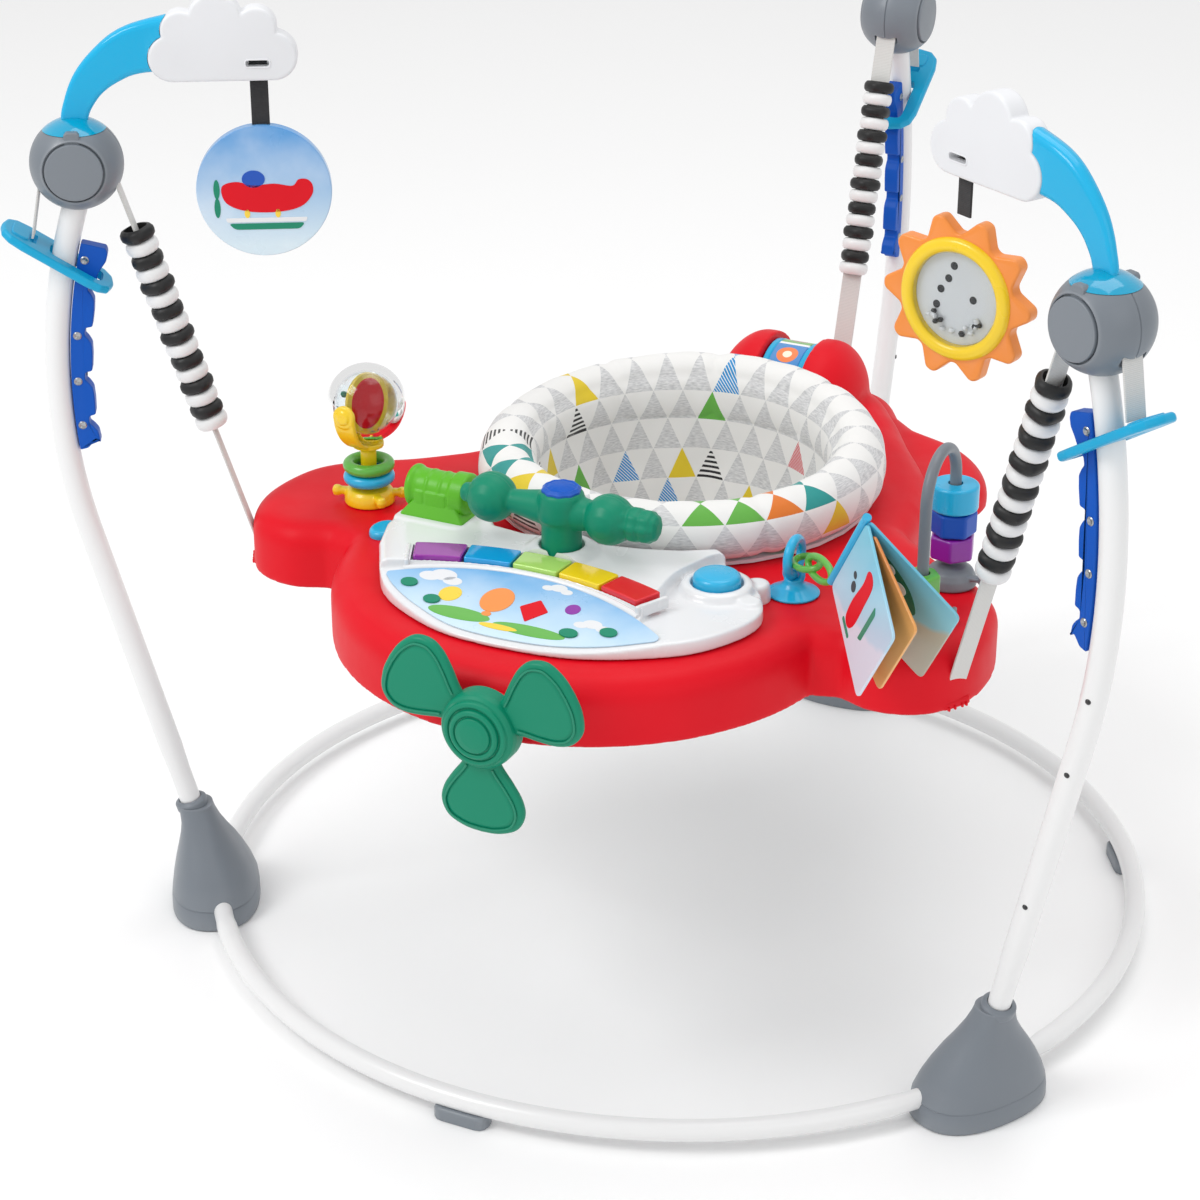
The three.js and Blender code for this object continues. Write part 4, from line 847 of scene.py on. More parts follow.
def picture_disc():
    angle, at = STATIONS["left"], (TOY_X, 0, TOY_Z)
    rim = plate(ellipse(0, 0, DISC_R, DISC_R, 96), 9, 0.8)
    look = sky_print("print_disc", (TOY_Z - 44) * MM, (TOY_Z + 44) * MM, 2, (6, 138, 210), (212, 230, 240))
    add("disc_rim", rim, look, "disc_toy", "toy_sky", "picture_disc", turn=angle, at=at)
    faces = [plate(ellipse(0, 0, 52.2, 52.2, 96), 0.5, 0.12, y, 2) for y in (-4.55, 4.55)]
    add("disc_picture", merge(*faces), look, "disc_toy", "toy_sky", turn=angle, at=at)
    hull = smooth([(-33, 4), (-30, -9), (-14, -16), (10, -17), (28, -13), (37, -4), (38, 4), (34, 9),
                   (27, 9), (22, 4),
                   (8, 6), (-8, 5), (-22, 8)], 5, True)
    shapes = [
        ("disc_hull", RED, [hull]),
        ("disc_blades", TEAL, [ellipse(-37, 2, 2.4, 8), ellipse(-37, -13, 2.4, 8),
                               soften([(-29, -26), (31, -26), (27, -31), (-24, -31)], 3)]),
        ("disc_struts", YELLOW, [ellipse(-14, -18, 2.2, 3.6), ellipse(10, -18, 2.2, 3.6)]),
        ("disc_float", BEZEL, [soften([(-31, -21.5), (33, -21.5), (32, -25), (-30, -25)], 1)]),
        ("disc_window", BLUE, [ellipse(-8, 10, 9, 7)]),
    ]
    for name, look, outlines in shapes:
        turned = [[(-x, z) for x, z in outline] for outline in outlines]
        both = [raised(outline, face, at=at) for outline in turned for face in (-4.9, 4.9)]
        add(name, merge(*both), look, "disc_toy", "toy_sky", turn=angle)


def sun_toy():
    """Orange rays, a yellow ring, and a dotted plate with loose beads behind a clear window on each face."""
    at = (TOY_X, 0, TOY_Z)

    def turned(name, shape):
        return new_object(name, moved(shape, spin="z", angle=SUN_TWIST), STATIONS["right"], at)

    rays = []
    for i in range(10):
        for share, radius in ((-0.42, SUN_VALLEY), (-0.10, SUN_OUTER), (0.10, SUN_OUTER), (0.42, SUN_VALLEY)):
            turn = 2 * pi * (i + share) / 10
            rays.append((radius * cos(turn), radius * sin(turn)))
    flower = turned("sun_rays", plate(soften(rays, 3.5), 12, 2.0))
    boolean(flower, turned("hole", plate(ellipse(0, 0, 36, 36, 64), 40, 0)))
    piece(flower, ORANGE, "sun_toy", "toy_orange", "sun_toy")
    ring = soften([(34.6, -8.4), (38, -10.6), (43.5, -9.4), (45.5, -5.6), (45.5, 5.6),
                   (43.5, 9.4), (38, 10.6),
                   (34.6, 8.4)], 2.0)
    piece(turned("sun_ring", rod([*ring, ring[0]], 80)), YELLOW, "sun_toy", "toy_yellow")
    plain = plastic("print_sun", (222, 224, 226), 0.4, 0.1, edge_lift=0.0)
    back = rod([(0, -3), (34.5, -3), (34.5, 3), (0, 3)], 64)
    piece(turned("sun_plate", back), plain, "sun_toy", "toy_sky")
    spots = ((-14, 4), (13, 1), (-4, 23), (-8, 13), (-17, -8))
    dots = [raised(ellipse(x, z, 2.9, 2.9), y) for y in (-3.1, 3.1) for x, z in spots]
    piece(turned("sun_dots", merge(*dots)), INK, "sun_toy", "toy_sky")
    for sign, name in ((-1, "front"), (1, "rear")):
        pane = [(0, 9.0), (22, 8.7), (34.4, 7.8), (34.4, 6.9), (22, 7.8), (0, 8.1)]
        pane = [(r, sign * h) for r, h in pane]
        dome = rod(pane if sign > 0 else pane[::-1], 64)
        piece(turned(f"sun_window_{name}", dome), PANE, "sun_toy", "globe_clear")
    beads = {0: [], 1: []}
    for i in range(44):
        turn = -pi / 2 + 0.95 * sin(i * 2.4)
        reach = 31.5 - 2.9 * (i % 4) - 1.2 * cos(i * 1.3)
        bead = lathe([(0, -1.9), (1.6, -1.4), (2.3, 0), (1.6, 1.4), (0, 1.9)], 12)
        beads[i % 3 == 0].append(moved(bead, (reach * cos(turn), (-1) ** (i // 2) * 5.2, reach * sin(turn))))
    piece(turned("sun_beads_white", merge(*beads[0])), BEZEL, "sun_toy", "cloud_white")
    piece(turned("sun_beads_black", merge(*beads[1])), INK, "sun_toy", "webbing_black")


# ---------------------------------------------------------------- tray
def mirrored(*runs):
    """An outline from the smooth runs of its right half, which starts and ends on the middle line."""
    half = np.vstack([smooth(run, 8) for run in runs])
    keep = [0] + [i for i in range(1, len(half)) if np.linalg.norm(half[i] - half[i - 1]) > 0.5]
    half = half[keep]
    left = half[1:-1][::-1] * np.array([-1, 1])
    return np.vstack([half, left])


def deck_outline():
    nose = [arc(205, t, t, 1, (0, -170))[0] for t in (-90, -78, -66, -54, -42, -30, -20, -11)]
    wing = [(222, -203), (256, -213), (294, -197), (315, -152), (309, -94), (282, -58), (240, -30), (200, 6)]
    rear = [(192, 60), (172, 124), (132, 188), (100, 240), (62, 286), (0, 298)]
    return mirrored(nose, wing, rear)


def tail_outline():
    plane = [(120, 60), (164, 112), (192, 138), (206, 176), (192, 216), (160, 250), (112, 272)]
    return mirrored([(0, 60), (120, 60)], plane, [(86, 296), (56, 336), (0, 354)])


def drop_below(obj, z):
    """Removes the faces that lie under z (millimetres), which opens the shape from below."""
    data = obj.data
    keep = [tuple(f.vertices) for f in data.polygons
            if f.normal.z > -0.7 or f.center.z > z * MM]
    points = [tuple(v.co) for v in data.vertices]
    fresh = bpy.data.meshes.new(obj.name)
    fresh.from_pydata(points, [], keep)
    fresh.validate()
    obj.data = fresh
    return obj


def tray_shell():
    """One red moulding: the deck, the lower tail, and the hump that holds the drum, all with soft fillets."""
    shell = new_object("tray_moulding", slab(deck_outline(), TRAY_BOTTOM, TRAY_TOP, SHOULDER, 1, 8))
    tail = new_object("tail", slab(tail_outline(), TRAY_BOTTOM, TAIL_TOP, SHOULDER, 1, 8))
    rings = []
    for x in np.linspace(-HUMP_HALF, HUMP_HALF, 45):
        flank = max(0.0, 2 * abs(x) / HUMP_HALF - 1)
        size = sqrt(max(1 - 0.93 * flank ** 1.7, 0.05))
        arch = [(HUMP_LENGTH * size * cos(t), HUMP_HEIGHT * size * sin(t)) for t in np.linspace(0, pi, 40)]
        rings.append([(x, HUMP_Y + y, HUMP_Z + z) for y,
                      z in [*arch, (-HUMP_LENGTH * size, -30), (HUMP_LENGTH * size, -30)]])
    boolean(shell, tail, new_object("hump", stack(rings)), operation="UNION")
    middle = moved(slab(rectangle(42.6, 130, 1), TRAY_TOP + 1.5, 460, 0), (0, HUMP_Y, 0))
    opening = slab(circle(OPENING, 96), 250, 450, 0)
    well = rod([(0, -21.2), (48.5, -21.2), (48.5, 21.2), (0, 21.2)], 64, (0, HUMP_Y, HUMP_Z), "x")
    shaft = rod([(0, -40), (8.4, -40), (8.4, 40), (0, 40)], 32, (PROP_X, PROP_Y + 40, PROP_Z))
    boolean(shell, *[new_object("tool", tool) for tool in (opening, well, shaft, middle)])
    melt(shell, 2.2, 8)
    drop_below(shell, TRAY_BOTTOM + 1.2)
    wall = shell.modifiers.new("wall", "SOLIDIFY")
    wall.thickness, wall.offset = 2.6 * MM, -1
    apply(shell)
    piece(shell, RED, "tray", "tray_red", "tray_shell", sharp=0)
    lugs = []
    x = strap_path()[-1][0]
    for angle in STATIONS.values():
        block = moved(slab(rectangle(18, 28, 5), TRAY_BOTTOM + 0.5, TRAY_BOTTOM + 7, 2.5, 1.5), (x - 1, 0, 0))
        teeth = [moved(slab(rectangle(2.4, 1.8, 0.8), TRAY_BOTTOM, TRAY_BOTTOM + 3.5, 0.7), (x + 8.2, y, 0))
                 for y in (-9, -3, 4, 8)]
        lugs.append(moved(merge(block, *teeth), spin="z", angle=angle))
    add("tray_lugs", merge(*lugs), RED, "tray", "tray_red")
    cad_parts["tray_base"].data.materials[0] = GREY
    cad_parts["seat_ring"].data.materials[0] = BEZEL


def console_outline():
    edge = ((-56, 174), (-66, 174), (-75, 174), (-85, 175), (-94, 176), (-106, 190), (-114, 196), (-123, 184),
            (-132, 184))
    behind = [arc(r, t, t, 1)[0] for t, r in edge]
    front = [(-148, -246), (-120, -290), (-81, -317), (-35, -333), (29, -333), (77, -321), (130, -288),
             (156, -250),
             (163, -216), (150, -186)]
    side = [(-150, -150), (-159, -176), (-160, -212)]
    return np.vstack([smooth(front, 6), behind, smooth(side, 6)])


def slope_z(y):
    """Height of the dashboard's slope at y."""
    return SLOPE_Z + (y - SLOPE_FRONT) * SLOPE


def console():
    """White dashboard: a raised rim round the picture, a shelf for the keys, pedestals for the toys."""
    block = new_object("dashboard", slab(console_outline(), TRAY_TOP + 0.5, CONSOLE_TOP, 6, 0.5, 6))
    wedge = [(SLOPE_FRONT, slope_z(SLOPE_FRONT)), (SLOPE_BACK, slope_z(SLOPE_BACK)), (SLOPE_BACK, 450),
             (SLOPE_FRONT, 450)]
    cutter = moved(plate(wedge, 700, 0), spin="z", angle=90)
    disc = new_object("disc", slab(circle(234, 128) + np.array(KEYS_AT), 360, 460, 0))
    boolean(disc, new_object("wedge", cutter), operation="INTERSECT")
    right = new_object("right", slab(soften([(96, -345), (190, -345), (190, -150), (100, -150), (84, -200)],
                                            14), 391, 440, 0))
    boolean(block, disc, right)
    lower = (arc(KEYS_OUTER + 0.8, 65.8, 114.2, 40, KEYS_AT)
             + arc(KEYS_INNER - 0.8, 114.2, 65.8, 40, KEYS_AT))
    pedestal = moved(lathe([(0, 384), (31, 384), (30, 391), (27, 396.5), (23.5, 398), (20.2, 398),
                            (20.2, 391), (0, 391)], 56),
                     (BUTTON_X, BUTTON_Y, 0))
    steps = [moved(lathe([(0, 380), (11, 380), (10, 394), (8, 396), (0, 396)], 32), spot)
             for spot in ((BUTTON_X + 32, BUTTON_Y - 12, -2), (BUTTON_X + 24, BUTTON_Y + 22, -3))]
    neck = moved(lathe([(0, 398), (34, 398), (30, 403), (24, 407), (19.5, 408.5), (17.6, 408.5), (17.6, 399),
                        (0, 399)], 56),
                 (YOKE_X, YOKE_Y, 0))
    shelf = slab(soften([(-161, -206), (-98, -206), (-94, -152), (-132, -144), (-158, -160)], 9),
                 396, 403.5, 3)
    parts = [block, new_object("extras", merge(pedestal, *steps, neck, shelf))]
    shape = merge(*[([tuple(v.co) for v in p.data.vertices], [tuple(f.vertices) for f in p.data.polygons])
                    for p in parts])
    whole = bpy.data.meshes.new("dashboard")
    whole.from_pydata(shape[0], [], shape[1])
    bpy.data.objects.remove(parts[1])
    block.data = whole
    melt(block, 1.3, 8)
    pit = new_object("pit", slab(rectangle(50, 36, 3), 396, 430, 0), at=(LEVER_X, LEVER_Y, 0))
    boolean(block, new_object("bed", slab(lower, 392.5, 430, 0)), pit)
    piece(block, BEZEL, "tray", "bezel_white", "console", sharp=50)


def tilted(outline, thickness, lift=0.0):
    """A thin plate lying on the dashboard's slope."""
    points, faces = slab(outline, 0, thickness, min(0.4, thickness / 3), None, 2)
    points = np.array(points)
    points[:, 2] += slope_z(points[:, 1]) + 0.3 + lift
    return points, faces


def dash_picture():
    """A printed sky with plain clouds, hills, a balloon and a row of teal pads along the front."""
    top = arc(PICTURE_R, 56.5, 118.5, 40, KEYS_AT)
    low = smooth([(-120, -284), (-106, -296), (-78, -312), (-35, -327.5), (28, -327.5), (74, -316),
                  (113, -296)], 8)
    outline = soften(anticlockwise(np.vstack([top, low])), 3, 2)
    look = sky_print("print_dash", CENTRE_Y - 0.33, CENTRE_Y - 0.245, 1, (70, 158, 220), (206, 232, 246))
    add("dash_panel", tilted(outline, 1.2), look, "tray", "toy_sky")
    trim = [(x, y, slope_z(y) - 0.6) for x, y in arc(TRIM_R, 64.6, 115.4, 60, KEYS_AT)]
    ends = []
    for turn in (65.1, 114.9):
        block = moved(slab(rectangle(31, 3.6, 1.6), 393, 403.2, 1.5), spin="z", angle=turn)
        ends.append(moved(block, (*arc(246.5, turn, turn, 1, KEYS_AT)[0], 0)))
    shape = merge(sweep(trim, circle(3.2, 12), (0, 0, 1)), *ends)
    add("dash_trim", shape, BEZEL, "tray", "bezel_white")
    clouds = []
    for x, y, size in ((-86, -276, 9), (-76, -272, 11), (-66, -277, 8), (52, -296, 6), (60, -293, 8),
                       (70, -296, 6),
                       (8, -262, 5), (16, -260, 7), (24, -263, 5)):
        clouds.append(tilted(ellipse(x, y, size, size * 0.62), 1.2, 0.25 + 0.02 * (size % 3)))
    add("dash_clouds", merge(*clouds), CLOUD, "tray", "toy_sky")
    groups = [
        ("dash_hills", GREEN, [ellipse(-42, -312, 26, 7), ellipse(18, -315, 30, 6)], 0.3),
        ("dash_sun", YELLOW, [ellipse(-60, -292, 9, 9), ellipse(-6, -318, 16, 3)], 0.42),
        ("dash_balloon", ORANGE, [ellipse(-22, -288, 13, 15), ellipse(-22, -306, 4, 3)], 0.46),
        ("dash_kite", RED, [soften([(-2, -290), (10, -278), (22, -290), (10, -306)], 1.5)], 0.42),
        ("dash_pads", TEAL, [ellipse(-97, -289, 7, 5), ellipse(-70, -303, 7, 5), ellipse(48, -309, 7.5, 5),
                             ellipse(76, -299, 7, 5)], 1.4),
        ("dash_star", PURPLE, [ellipse(38, -281, 6, 6)], 0.42),
    ]
    for name, colour, outlines, lift in groups:
        shapes = [tilted(outline, 1.3, lift) for outline in outlines]
        add(name, merge(*shapes), colour, "tray", "toy_sky")


def keys():
    """Five glossy lenses in one curved row."""
    lens = [(150, 30, 160), (16, 158, 222), (176, 220, 108), (246, 214, 16), (226, 22, 40)]
    edges = np.linspace(114, 66, 6)
    for i, colour in enumerate(lens):
        a, b = edges[i] - 0.25, edges[i + 1] + 0.25
        outline = arc(KEYS_OUTER, b, a, 5, KEYS_AT) + arc(KEYS_INNER, a, b, 5, KEYS_AT)
        look = plastic(f"lens_{i}", colour, 0.14, 0.7, 0.02, glow=0.3, edge_lift=0.0)
        key = new_object(f"key_{i}", slab(soften(outline, 2.2, 4), 393.2, 405, 1.2, 0.4, 4))
        nodes = ("light_bar",) if i == 2 else ()
        piece(key, look, "tray", "key_lens", *nodes, sharp=50)


def button():
    top = [(0, 388.4), (17.8, 388.4), (18.5, 390), (18.5, 400.5), (17.9, 402.6), (16.4, 404.0), (14.6, 404.8),
           (13.4, 404.6),
           (12.6, 404.9), (8, 405.7), (0, 406.1)]
    add("push_button", lathe(top, 72), CYAN, "button", "toy_cyan", "round_button", at=(BUTTON_X, BUTTON_Y, 0))
    low = [(0, 388), (6.4, 388), (6.2, 391.5), (5, 394), (2.8, 395.4), (0, 395.8)]
    add("dash_stud", lathe(low, 32), TEAL, "tray", "toy_teal", at=(78, -226, 3))
    oval = slab([(x, y) for x, y in ellipse(-176, -188, 12, 15)], TRAY_TOP, TRAY_TOP + 6.5, 4, 0.4)
    add("deck_oval", oval, CYAN, "tray", "toy_cyan")


def yoke():
    """A steering yoke: a stout column, a crossbar with two balls, a ribbed grip on the right."""
    column = lathe([(0, 399), (17, 399), (17, 402), (15.8, 404), (15.6, 424), (16.4, 428), (18.6, 431),
                    (19.2, 436),
                    (18.6, 445), (17.4, 450), (15.6, 452.5), (0, 452.5)], 56)
    ball = [(0, -20.2), (3, -20), (9, -18), (15, -13.4), (18.8, -7), (20, -1.2), (19.4, -0.6),
            (19.4, 0.6), (20, 1.2),
            (18.8, 7), (15, 13.4), (9, 18), (3, 20), (0, 20.2)]
    bar = rod([(0, -58), (8.5, -58), (9, -44), (11, -30), (13.5, -16), (14, 0), (13.5, 16), (11, 30),
               (10, 44), (0, 44)], 40, along="x")
    tip = rod([(0, -86), (5, -86), (7.4, -84), (8, -79), (7, -74), (8, -70), (9, -60), (0, -60)],
              32, along="x")
    grip = [(0, 50), (13.4, 50), (13.8, 56), (12, 58.5), (13.6, 61), (13.4, 66), (11.8, 68.5),
            (13, 71), (12.6, 76),
            (10.8, 78), (9.6, 81), (5, 82.6), (0, 82.6)]
    parts = [column, moved(bar, (0, 0, YOKE_Z)), moved(tip, (0, 0, YOKE_Z)),
             rod(ball, 48, (-60, 0, YOKE_Z)), rod(ball, 48, (41, 0, YOKE_Z)),
             moved(lying(wavy(lathe(grip, 48), 0.045, 8, 0.4), "x"), (0, 0, YOKE_Z))]
    wheel = melt(new_object("steering", merge(*parts), at=(YOKE_X, YOKE_Y, 0)), 1.1, 3)
    piece(wheel, TEAL, "yoke", "toy_teal", "yoke", sharp=0)
    cap = wavy(lathe([(0, 451.5), (15, 451.5), (15.2, 454), (13, 456.2), (11, 455.7), (8, 457.2), (0, 457.2)],
                     60), 0.03, 10, 0)
    add("steering_cap", cap, COBALT, "yoke", "toy_cobalt", at=(YOKE_X, YOKE_Y, 0))


def lever():
    """A ribbed roller on a wedge; the wedge stands on the dashboard, the roller rocks about its own axis."""
    barrel = [(0, -27), (13.5, -27), (16.4, -25.8), (17.6, -23.6), (17.2, -21.5), (15.8, -19.5), (15.2, -16),
              (15.2, -9.4),
              (15.9, -8.8), (15.9, -7.4), (15.2, -6.8), (15.2, 2.6), (15.9, 3.2), (15.9, 4.6),
              (15.2, 5.2), (15.2, 12),
              (17.4, 13.2), (17.6, 24), (16.4, 25.8), (13.5, 27), (0, 27)]
    roller = rod(barrel, 56, (0, 0, LEVER_Z), "x")
    tabs = [moved(slab(rectangle(wide, 12, 1.2), low, 424, 1.2), (x, -10.5, 0))
            for x, wide, low in ((-13, 8, 404), (1.5, 19, 404), (15.5, 6, 407))]
    body = melt(new_object("roller", merge(roller, *tabs), at=(LEVER_X, LEVER_Y, 0)), 0.8, 2)
    piece(body, LIME, "lever", "toy_lime", "lever", sharp=0)
    rings = [[(x, y, z) for x, y in rectangle(w, d, 3)] for z, w, d in
             ((402, 56, 42), (403.5, 56, 42), (405, 55, 41), (414, 40, 32), (415.5, 38.5, 30.5),
              (416, 36, 28))]
    add("roller_wedge", stack(rings), LIME, "tray", "toy_lime", at=(LEVER_X, LEVER_Y, 0))


def drum():
    rim = [(38, 20.5), (44.6, 20.5), (46, 19.4), (46, 15.6), (45.2, 14.8), (44.8, 14.4)]
    profile = [(0, 20.5), *rim, *[(r, -x) for r, x in rim[::-1]], (0, -20.5)]
    body = rod(profile, 96, (0, HUMP_Y, HUMP_Z), "x")
    add("drum_body", body, CYAN, "drum", "toy_cyan", "picture_drum")
    skin = [(44.9, -14.3), (45.5, -13.8), (45.5, 13.8), (44.9, 14.3), (43.5, 14.3), (43.5, -14.3),
            (44.9, -14.3)]
    wrap = rod(skin, 96, (0, HUMP_Y, HUMP_Z), "x")
    add("drum_pictures", wrap, drum_print("print_drum"), "drum", "toy_sky")


def propeller():
    """Three broad crowned blades, a domed hub with concentric ribs."""
    right = smooth([(10, -14), (15, -28), (25, -42), (32, -54), (34, -66), (28, -78), (14, -84.5), (0, -86)],
                   6)
    left = right[:-1][::-1] * np.array([-1, 1])
    outline = np.vstack([right, left])
    blades = []
    for i in range(3):
        crowned = merge(plate(outline, 9, 4.2, steps=6), plate(inset(anticlockwise(outline), 7), 10.6, 1.2))
        blades.append(moved(moved(crowned, spin="y", angle=120 * i), (0, 1, 0)))
    core = rod([(0, -9), (26, -9), (27, -6), (27, 5), (0, 8)], 48)
    prop = melt(new_object("airscrew", merge(core, *blades), at=BLADES_AT), 1.1, 2)
    piece(prop, TEAL, "propeller", "toy_teal", "propeller", sharp=0)
    cap = [(0, -10), (28, -10), (30, -8), (30, 3), (29.2, 7), (27, 9.6), (25.6, 9.6), (25.2, 11.6),
           (23.4, 12.6), (21.4, 12.2),
           (21, 10.8), (19.8, 10.8), (19.4, 13.4), (17.6, 14.6), (15.6, 14.2), (15.2, 12.8), (14, 12.8),
           (13.6, 15), (9, 16),
           (0, 16.6)]
    add("airscrew_hub", rod(soften(cap, 0.6, 2, False).tolist(), 72), TEAL, "propeller", "toy_teal",
        at=BLADES_AT, sharp=40)
    lines = []
    for i in range(3):
        edge = inset(anticlockwise(outline), 5.2)
        run = [(x, -4.4, z) for x, z in edge if z < -30]
        lines.append(moved(sweep(run, circle(0.8, 8), (0, 1, 0)), spin="y", angle=120 * i))
    add("airscrew_lines", merge(*lines), TEAL, "propeller", "toy_teal", at=BLADES_AT)
    pin = rod([(0, -38), (8, -38), (8, 4), (0, 4)], 32)
    add("airscrew_pin", pin, SLATE, "propeller", "toy_teal", at=(PROP_X, PROP_Y, PROP_Z))
    ring = [(8.6, 0), (17, 0), (18, 2), (17, 5), (8.6, 6), (8.6, 0)]
    boss = rod(ring, 48, (PROP_X, PROP_Y + 17, PROP_Z))
    add("nose_boss", boss, RED, "tray", "tray_red")


# ---------------------------------------------------------------- toys on the wings
def spinner():
    at = (SPIN_X, SPIN_Y, 0)
    base = lathe([(0, DECK), (20, DECK), (21, 379.4), (20.6, 384), (19.4, 388), (17, 391), (12.6, 392),
                  (8, 393), (6.5, 394),
                  (6.5, 424), (8, 426.5), (13, 427.5), (13, 431.5), (0, 432.5)], 48)
    tabs = []
    for turn in (20, 140, 200, 320):
        tab = moved(slab(rectangle(11, 7, 3), 384, 390, 2), (22.5, 0, 0))
        knob = moved(lathe([(0, 383), (3.4, 383), (4.4, 387), (3, 391), (0, 391.6)], 16), (27, 0, 0))
        tabs.append(moved(merge(tab, knob), spin="z", angle=turn))
    cradle = [(0, FORK_R * cos(t), GLOBE_Z + FORK_R * sin(t)) for t in np.radians(np.linspace(176, 364, 48))]
    width = 1 - 0.28 * np.sin(np.linspace(0, pi, 48)) ** 2
    fork = sweep(cradle, [(y, x) for x, y in rectangle(19, 4.6, 1.8)][::-1], (1, 0, 0), scale=width)
    ends = []
    for sign in (-1, 1):
        for radius, deep in ((9.4, 2.6), (5.6, 4.2)):
            disc = lathe([(0, -deep), (radius - 0.8, -deep), (radius, 0.8 - deep), (radius, deep - 0.8),
                          (radius - 0.8, deep),
                          (0, deep)], 28)
            ends.append(moved(lying(disc), (0, sign * FORK_R, GLOBE_Z)))
        pin = rod([(0, -5), (2.8, -5), (2.8, 5), (0, 5)], 16)
        ends.append(moved(pin, (0, sign * (FORK_R - 4), GLOBE_Z)))
    stand = melt(new_object("spin_stand", merge(base, *tabs, fork, *ends), at=at), 0.9, 3)
    piece(stand, YELLOW, "tray", "toy_yellow", "spinner_stand", sharp=0)
    polar = np.linspace(asin(3.4 / GLOBE_R), pi - asin(3.4 / GLOBE_R), 48)
    outer = [(GLOBE_R * sin(t), GLOBE_R * cos(t)) for t in polar]
    inner = [(r * 0.95, h * 0.95) for r, h in outer]
    add("globe_shell", rod([*outer, *inner[::-1], outer[0]], 72, (0, 0, GLOBE_Z)), CLEAR, "globe",
        "globe_clear", "spinner_globe", at=at, sharp=50)
    card = [plate(ellipse(0, 0, 20, 27), 4.0, 1.2), plate(ellipse(0, 0, 15.5, 22), 5.2, 1.0)]
    for shape, look, name, slot in ((card[0], YELLOW, "globe_frame", "toy_yellow"),
                                    (card[1], RED, "globe_card", "tray_red")):
        turned = moved(moved(shape, spin="z", angle=62), (0, 0, GLOBE_Z))
        add(name, turned, look, "globe", slot, at=at)
    beads = []
    for i in range(9):
        turn = -0.9 - 0.28 * i
        bead = lathe([(0, -2.6), (1.9, -2), (2.7, 0), (1.9, 2), (0, 2.6)], 14)
        beads.append(moved(bead, (25 * cos(turn), 7.5 * (-1) ** i, GLOBE_Z + 25 * sin(turn))))
    add("globe_beads", merge(*beads), TEAL, "globe", "toy_teal", at=at)
    for colour, z, look, slot in (("green", 411, GREEN, "toy_lime"), ("cyan", 400.5, CYAN, "toy_cyan")):
        path = [(x, y, z) for x, y in circle(16.2, 72)]
        add(f"loose_ring_{colour}", sweep(path, circle(5.0, 20), (0, 0, 1), True), look,
            f"ring_{colour}", slot,
            f"slip_ring_{colour}", at=at, sharp=50)


def bead_arch():
    """Grey loop on two domed feet with latch tabs, and the four beads on it."""
    middle, span = (ARCH_FRONT + ARCH_BACK) / 2, (ARCH_BACK - ARCH_FRONT) / 2
    path = [(0, ARCH_FRONT, z) for z in np.linspace(380, ARCH_Z, 14)]
    path += [(0, middle - span * cos(t), ARCH_Z + span * sin(t)) for t in np.linspace(0.08, pi - 0.08, 30)]
    path += [(0, ARCH_BACK, z) for z in np.linspace(ARCH_Z, 380, 14)]
    wire = sweep(path, circle(4.6, 24), (1, 0, 0))
    feet_parts = []
    for y in (ARCH_FRONT, ARCH_BACK):
        dome = lathe([(0, DECK), (20, DECK), (20.6, 380), (19.6, 386), (17, 391), (12, 394.4), (7, 395.6),
                      (0, 395.6)], 48)
        hook = moved(slab(rectangle(14, 8, 2), 386, 389.5, 1.2), (21, -4, 0))
        claw = moved(slab(rectangle(4, 8, 1.5), 384, 392.5, 1.2), (27, -4, 0))
        feet_parts.append(moved(merge(dome, hook, claw), (0, y, 0)))
    arch = melt(new_object("arch", merge(wire, *feet_parts), at=(ARCH_X, 0, 0)), 0.9, 3)
    piece(arch, SLATE, "tray", "toy_grey", "bead_arch", sharp=0)
    for name, look, slot, radius, height, y, z, sides, twist in (
            ("bead_cyan", CYAN, "toy_cyan", 18.5, 21, ARCH_BACK, 452, 48, 0),
            ("bead_blue", BLUE, "toy_cobalt", 18.5, 19, ARCH_BACK, 431, 6, 20),
            ("bead_purple", PURPLE, "toy_purple", 18.5, 19, ARCH_BACK, 411, 6, 45),
            ("bead_green", GREEN, "toy_lime", 14, 19, ARCH_FRONT, 405, 6, 10)):
        turns = np.radians(np.arange(sides) * 360 / sides + twist)
        corner = [(radius * cos(t), radius * sin(t)) for t in turns]
        outline = soften(corner, 2.2, 4) if sides < 12 else np.array(corner)
        bead = new_object(f"{name}_body", slab(outline, z - height / 2, z + height / 2, 2.4, 2.4, 5),
                          at=(ARCH_X, y, 0))
        bore = new_object("bore", slab(circle(5.8, 32), z - 30, z + 30, 0), at=(ARCH_X, y, 0))
        boolean(bead, bore)
        piece(bead, look, name, slot, name)


